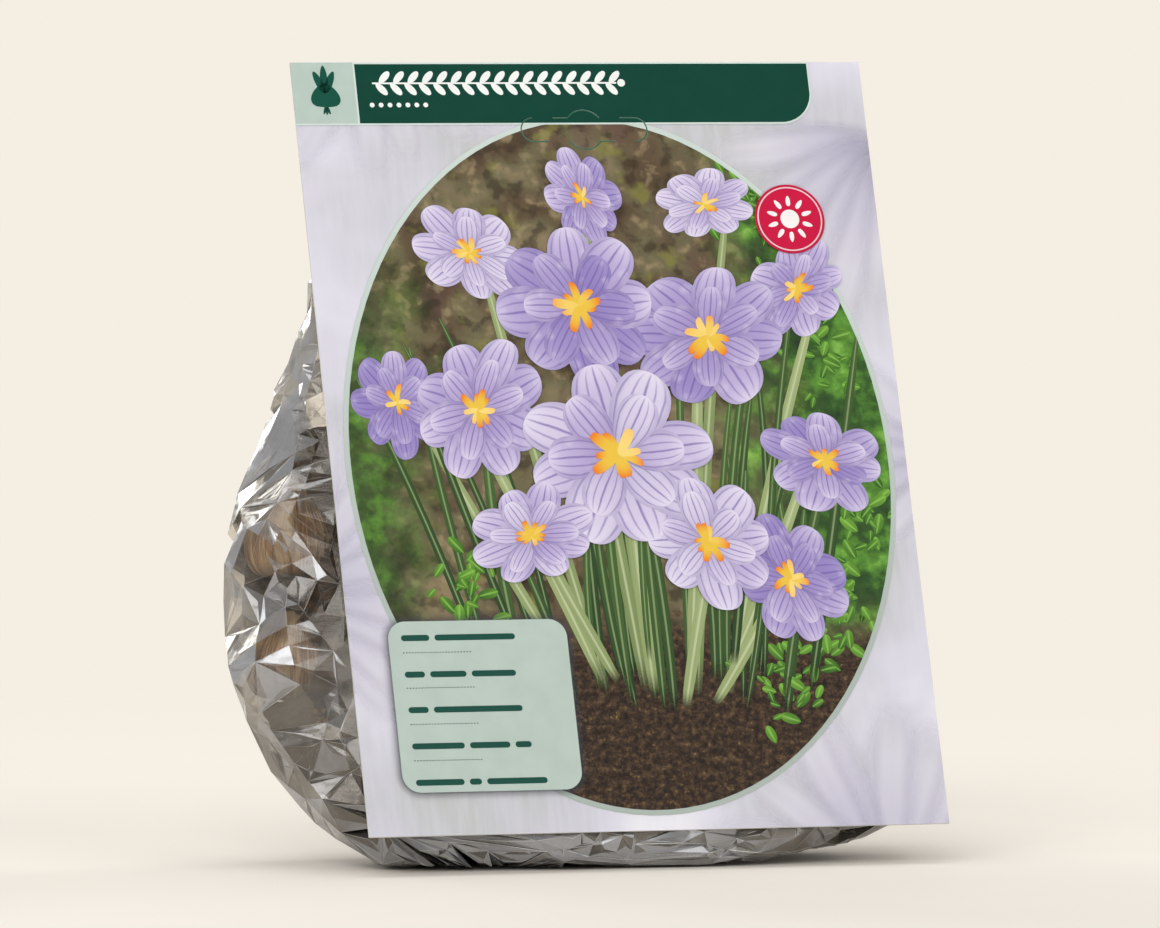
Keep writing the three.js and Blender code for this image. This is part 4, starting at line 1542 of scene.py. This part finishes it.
def film_place(place, depth):
    """Where a place of the net lies: nearly on its large facet, and out by its depth."""
    around, up = place.x * MM, place.y * MM
    spot = on_bag(around, up)
    cut = (on_large_facet(place) - spot) * FLATNESS * room_for_folds(around, up)
    spot += cut.normalized() * DEEPEST_CUT * math.tanh(cut.length / DEEPEST_CUT)
    spot += away_from_bag(around, up) * depth * MM
    spot.z = max(spot.z, ABOVE_FLOOR)
    return spot


print("the air holes' places on the chart:", len(list(vent_places())))

# %% Sheen
GLEAM_TOP, GLEAM_END = 16 * MM, 26 * MM  # under the card, left of here, the film gleams


def sheen_of(normal):
    """How much a facet mirrors of the room, from 0 to 1. It swings fast with the facet's turn."""
    aside, rise = 6 * normal.x + 4 * normal.z - 0.07, 11 * normal.z + 3 * normal.y + 0.15
    return 0.5 + 0.5 * math.sin(aside) * math.sin(rise)


def large_sheen(place):
    """The sheen of the large facet round this place."""
    corners = large_facet(place)
    if not corners:
        return 0.5
    one, two, three = (large_corners[i] for i in corners)
    return sheen_of((two - one).cross(three - one).normalized())


def own_sheen(face, from_large):
    """Half from the large facet's turn and half from the face's own. More under the card."""
    sheen = (from_large + sheen_of(2 * face.normal)) / 2
    middle = face.calc_center_median()
    if middle.z < GLEAM_TOP and middle.x < GLEAM_END and face.normal.y < 0:
        return (sheen + 2 * sheen_of(3 * face.normal)) / 2
    return sheen


print("sheen of a level facet:", round(sheen_of(Vector((0, 0, 1))), 2))

# %% The film's shape
FILM_THICKNESS = 0.08 * MM
CLEAR_OF_CONTENTS = 1.0 * MM
SHARP = math.radians(11)
CREASE_WIDTH = 0.2 * MM
GROWTH = 0.6 * MM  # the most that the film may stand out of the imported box
BEHIND_CARD = 0.5 * MM
MAP_SIZE = 100  # millimetres of the chart that fill its map once


def kept_in_bounds(shape):
    """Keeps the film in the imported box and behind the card."""
    for vert in shape.verts:
        for axis in range(2):
            lowest, highest = BAG_LOW[axis] - GROWTH, BAG_HIGH[axis] + GROWTH
            vert.co[axis] = min(max(vert.co[axis], lowest), highest)
        gap = (CARD_CORNER - vert.co).dot(CARD_OUT) - CARD_THICKNESS
        if vert.co.z > CARD_CORNER.z and gap < BEHIND_CARD:
            vert.co -= CARD_OUT * (BEHIND_CARD - gap)


def film_shape():
    shape = bmesh.new()
    chart_map = shape.loops.layers.uv.new("chart")
    sheen = shape.faces.layers.float.new("sheen")
    corners = [shape.verts.new(film_place(p, d)) for p, d in zip(net.places, net.depths)]
    vents = [Vector((around / MM, up / MM)) for around, up in vent_places()]
    for face in net_faces:
        middle = sum((net.places[i] for i in face), Vector((0, 0))) / 3
        if all((middle - vent).length > VENT_RADIUS for vent in vents):
            made = shape.faces.new([corners[i] for i in face])
            made[sheen] = large_sheen(middle)
            for loop, i in zip(made.loops, face):
                loop[chart_map].uv = net.places[i] / MAP_SIZE
    bmesh.ops.remove_doubles(shape, verts=shape.verts, dist=0.01 * MM)
    for tree in (corm_tree, peat_tree):
        for _ in range(2):
            print("film points pressed out:", pressed_back(shape, tree, CLEAR_OF_CONTENTS))
    kept_in_bounds(shape)
    shape.normal_update()
    for face in shape.faces:
        face[sheen] = own_sheen(face, face[sheen])
    sharp = [e for e in shape.edges if e.is_manifold and e.calc_face_angle() > SHARP]
    crease = shape.faces.layers.float.new("crease")
    bevelled = bmesh.ops.bevel(shape, geom=sharp, offset=CREASE_WIDTH, offset_type="OFFSET",
                               affect="EDGES", segments=1, profile=0.5, material=-1,
                               clamp_overlap=True)
    for face in bevelled["faces"]:
        face[crease] = 1.0
    bmesh.ops.triangulate(shape, faces=[f for f in shape.faces if len(f.verts) > 4])
    print("sharp creases:", len(sharp), "faces:", len(shape.faces))
    return shape


# %% [markdown]
# ## The film's finish
#
# Seen straight on, clear film shows what lies behind it, and at a glance it mirrors. So the finish
# mixes a mirroring skin with clear film. How much of the skin is seen is a sum: a little haze, more
# where the film turns away from the eye, more by its sheen, and more on creases and under dust.
# Peat dust clings to the film at the bag's foot and round the top of the peat.

# %% Clear film
FOOT_DUST = (4 * MM, 60 * MM)  # the dust at the foot thins out between these heights
FILL_LINE, FILL_BAND = 104 * MM, 9 * MM  # where the peat ends, and how wide its dust reaches


def film_dust(f):
    """The height of a point, and how much dust clings there."""
    place = f.place()
    across, _, height = f.parts(place)
    speckle = f.noise(place, 130, 4, 0.65)
    drift = f.noise(place, 24, 2) * 0.04
    to_right = (across + drift).rising(0.03, 0.07, 0.3, 1.0)
    to_left = (drift - across).rising(0.06, 0.085, 0.0, 0.9)
    at_foot = (1 - height.rising(*FOOT_DUST)) * speckle.rising(0.3, 0.6, 0.5, 1.0)
    off_fill_line = abs(height - FILL_LINE).rising(0.0, FILL_BAND)
    at_fill_line = (1 - off_fill_line) * speckle.rising(0.42, 0.6) * 0.8
    return height, (at_foot * to_right.most(to_left)).most(at_fill_line)


def film_finish():
    f = Finish("clear_film")
    place = f.place()
    height, dust = film_dust(f)
    crease, sheen = f.own("crease"), f.own("sheen").rising(0.35, 0.8)
    haze = f.noise(place, 55, 4, 0.6).rising(0.42, 0.7)
    scuff = f.noise(f.stretch(place, (1, 1, 3)), 160, 2)
    turned = f.node("LayerWeight", None, {"Blend": 0.5}, "Facing").rising(0.3, 0.8)
    seen = 0.07 + haze * 0.08 + turned * 0.6 + crease * 0.4 + sheen * 0.48 + dust * 0.5
    ripple = f.noise(place, 190, 1.5)
    # Painted reflection: facets of high sheen are painted a cool grey, as if they mirrored a dim part
    # of the room.
    cool = f.mix(paint(180, 176, 169), paint(203, 205, 210), sheen)
    milky = f.mix(cool, paint(186, 181, 170), height.rising(0.118, 0.136) * 0.7)
    dusty = f.mix(milky, paint(96, 87, 76), dust * 0.85)
    # Creases: partly whitening where the film was pinched, partly a painted highlight along the
    # crease.
    surface = {"Base Color": f.mix(dusty, paint(236, 236, 232), crease * 0.7),
               "Metallic": 0.6 - dust * 0.3 - crease * 0.3,
               "Roughness": scuff.rising(0.45, 0.7, 0.1, 0.24),
               "Normal": f.bump(ripple, 0.35 * MM, 0.35)}
    return f.film(surface, seen.least(0.9), (0.985, 0.97, 0.945))


def thicken(piece):
    """Gives a sheet of film its wall, inwards."""
    wall = piece.modifiers.new("film_thickness", "SOLIDIFY")
    wall.thickness, wall.offset = FILM_THICKNESS, -1


film = make_piece("film_crumpled", film_shape(), film_finish())
film.data.set_sharp_from_angle(angle=math.radians(60))
thicken(film)
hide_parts("bag_film")

# %% [markdown]
# ## The top weld
#
# Along its top the bag is closed by a weld. A hot bar with fine ridges presses the two walls
# together, which leaves a flat band, cloudy and finely ribbed. Rays from behind find where the
# packed film's weld lies, and a fine grid is laid over it, with its rows raised and sunk in turn.

# %% Top weld
WELD_FOOT, WELD_HEAD = 156.5, 166.4  # heights, in millimetres
WELD_ROWS, WELD_COLUMNS = 32, 40
WELD_RIB = 0.16 * MM  # height of a rib
WELD_LIFT = 0.45 * MM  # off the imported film
WELD_INSET = 1.2 * MM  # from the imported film's sides


def weld_shape():
    """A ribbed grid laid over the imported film's weld."""
    row = int(np.argmin(abs(CHART[:, 0, 2] - WELD_HEAD * MM)))
    left, right = CHART[row, :, 0].min() + WELD_INSET, CHART[row, :, 0].max() - WELD_INSET
    shape = bmesh.new()
    grid = bmesh.ops.create_grid(shape, x_segments=WELD_COLUMNS, y_segments=WELD_ROWS, size=1)
    for vert in grid["verts"]:
        ridge = round((vert.co.y + 1) / 2 * WELD_ROWS) % 2
        across = left + (right - left) * (vert.co.x + 1) / 2
        height = (WELD_FOOT + (WELD_HEAD - WELD_FOOT) * (vert.co.y + 1) / 2) * MM
        vert.co = first_hit((across, 0, height), (0, -1, 0))
        vert.co.y += WELD_LIFT + WELD_RIB * ridge
    bmesh.ops.recalc_face_normals(shape, faces=shape.faces)
    bmesh.ops.reverse_faces(shape, faces=[f for f in shape.faces if f.normal.y < 0])
    return shape


def weld_finish():
    f = Finish("welded_film")
    place = f.place()
    cloud = f.noise(f.stretch(place, (1, 1, 0.3)), 240, 3).rising(0.3, 0.7)
    surface = {"Base Color": f.mix(paint(188, 188, 186), paint(226, 226, 224), cloud),
               "Metallic": 0.35,
               "Roughness": cloud.rising(0, 1, 0.22, 0.34)}
    return f.film(surface, cloud * 0.2 + 0.4, (0.97, 0.965, 0.955))


weld = make_piece("top_weld", weld_shape(), weld_finish())
thicken(weld)

# %% [markdown]
# ## Card board and glue
#
# The card is folding box board, white and coated in front and greyer on its back, where short
# fibres show. Its cut edges are the same board. Three strips of glue hold the bag to it, cloudy
# and yellowish, as hot melt glue is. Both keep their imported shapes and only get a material.

# %% Card board and glue
def board_finish():
    f = Finish("card_board")
    place = f.place()
    fibres = f.noise(f.stretch(place, (1, 3, 1)), 900, 4, 0.7).rising(0.35, 0.7)
    cloud = f.noise(place, 60, 3).rising(0.3, 0.7)
    pale = f.mix(paint(206, 205, 200), paint(222, 221, 216), cloud)
    surface = {"Base Color": f.mix(pale, paint(190, 187, 180), fibres * 0.35),
               "Roughness": cloud.rising(0, 1, 0.6, 0.72),
               "Specular IOR Level": 0.3,
               "Normal": f.bump(fibres, 0.05 * MM, 0.4)}
    return f.surface(surface)


def glue_finish():
    f = Finish("hot_melt_glue")
    cloud = f.noise(f.place(), 180, 3).rising(0.3, 0.7)
    surface = {"Base Color": f.mix(paint(196, 182, 146), paint(214, 204, 176), cloud),
               "Roughness": cloud.rising(0, 1, 0.25, 0.4),
               "Normal": f.bump(f.noise(f.place(), 300, 2), 0.3 * MM, 0.4)}
    return f.surface(surface)


board, glue = board_finish(), glue_finish()
for name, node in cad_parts.items():
    finish = board if name == "card" else glue if name.startswith("glue_strip") else None
    if finish:
        for slot in node.material_slots:
            slot.material = finish
        print("new material on", name)

# %% [markdown]
# ## Floor, light and camera
#
# The pack stands on a pale floor. A flat floor would show a horizon, and a backdrop would hide the
# pack from behind, so the floor's colour fades, a little way out, into a plain glow of the same
# cream that the camera sees as the sky. The light itself comes from soft lamps all round and a dim
# sky: the film's facets mirror a lamp or the dimness, and so they differ from each other.

# %% Floor
BACKDROP = paint(245, 238, 227)
FLOOR_RADIUS = 12.0
FADE = (0.16, 0.6)  # the floor turns into the glow between these distances, in metres


def floor_finish():
    """Pale near the pack, and the backdrop's own glow farther out."""
    f = Finish("pale_floor")
    x, y, _ = f.parts(f.place())
    out = (x * x + y * y) ** 0.5
    tone = f.noise(f.place(), 9, 3).rising(0.3, 0.7, 0.985, 1.0)
    near = f.node("BsdfDiffuse", None, {"Color": f.mix((0, 0, 0, 1), paint(247, 241, 231), tone)})
    glow = f.node("Emission", None, {"Color": BACKDROP})
    return f.shown(f.node("MixShader", None, {0: out.rising(*FADE), 1: near, 2: glow}))


floor_shape = bmesh.new()
bmesh.ops.create_circle(floor_shape, cap_ends=True, segments=64, radius=FLOOR_RADIUS)
floor_mesh = bpy.data.meshes.new("floor")
floor_shape.to_mesh(floor_mesh)
floor_mesh.materials.append(floor_finish())
floor = bpy.data.objects.new("floor", floor_mesh)
bpy.context.scene.collection.objects.link(floor)
print("the floor is", 2 * FLOOR_RADIUS, "m across")

# %% [markdown]
# ## Sky and lamps
#
# The world's tree has two skies: a dim one that lights the pack, and the cream one that only the
# camera sees. A Light Path node tells them apart. The lamps are large areas, because the edge of a
# shadow and of a mirrored lamp is as soft as the lamp is large.

# %% Sky
SKY = 0.36
studio = Finish("studio", "worlds")
dim_sky = studio.node("Background", None, {"Color": (1.0, 0.99, 0.97, 1.0), "Strength": SKY})
seen_sky = studio.node("Background", None, {"Color": BACKDROP})
for_camera = studio.node("LightPath", output="Is Camera Ray")
sky = studio.node("MixShader", None, {0: for_camera, 1: dim_sky, 2: seen_sky})
bpy.context.scene.world = studio.shown(sky, "OutputWorld")
bpy.context.scene.view_settings.view_transform = "Standard"
print("the sky's strength is", SKY)

# %% Lamps
# Each lamp: where it stands and how large it is, in metres, and its power in watts.
LAMPS = {
    "key": ((-1.3, -2.1, 1.6), (2.0, 2.0), 29),
    "fill": ((1.5, -2.1, 0.9), (1.8, 1.8), 17),
    "left_front_strip": ((-1.9, -0.4, 0.35), (0.4, 1.3), 5),
    "left_back_strip": ((-0.9, 2.0, 0.9), (0.4, 1.4), 9),
    "right_strip": ((1.8, 0.6, 0.7), (0.5, 1.4), 8),
    "behind": ((0.3, 2.2, 1.1), (1.6, 1.2), 12),
    "top": ((0.0, 0.2, 2.1), (1.4, 0.9), 10),
}


def stand_at(name, data, place, direction):
    """Adds a lamp or camera that looks in this direction."""
    made = bpy.data.objects.new(name, data)
    bpy.context.scene.collection.objects.link(made)
    made.location = place
    made.rotation_mode = "QUATERNION"
    made.rotation_quaternion = direction.to_track_quat("-Z", "Y")
    return made


for name, (place, size, power) in LAMPS.items():
    data = bpy.data.lights.new(name, "AREA")
    data.shape, data.size, data.size_y = "RECTANGLE", *size
    data.energy = power
    stand_at(name, data, place, (CAD_LOW + CAD_HIGH) / 2 - Vector(place))
print("lamps:", len(LAMPS))

# %% [markdown]
# ## The camera
#
# The pack is seen from 17 degrees to the left of straight on and 2.5 degrees above, through a long
# lens, so that its upright lines hardly converge. The camera aims at a point behind the card.

# %% Camera
CAMERA_TURN, CAMERA_RISE = math.radians(-17.17), math.radians(2.49)
CAMERA_DISTANCE = 2500 * MM
CAMERA_TARGET = CARD_CORNER + Vector((CARD_WIDTH / 2 - 11.15, 30.0, 86.2)) * MM
SENSOR = 36
LENS = 10406 * SENSOR / 1160  # the photograph's focal length, in pixels of its 1160 pixel width

camera_data = bpy.data.cameras.new("camera")
camera_data.sensor_width, camera_data.lens = SENSOR, LENS
camera_data.clip_start, camera_data.clip_end = 0.1, 20
back = Vector((math.sin(CAMERA_TURN) * math.cos(CAMERA_RISE),
               -math.cos(CAMERA_TURN) * math.cos(CAMERA_RISE), math.sin(CAMERA_RISE)))
camera_place = CAMERA_TARGET + back * CAMERA_DISTANCE
bpy.context.scene.camera = stand_at("camera", camera_data, camera_place, -back)
print("the lens is", round(LENS), "mm")
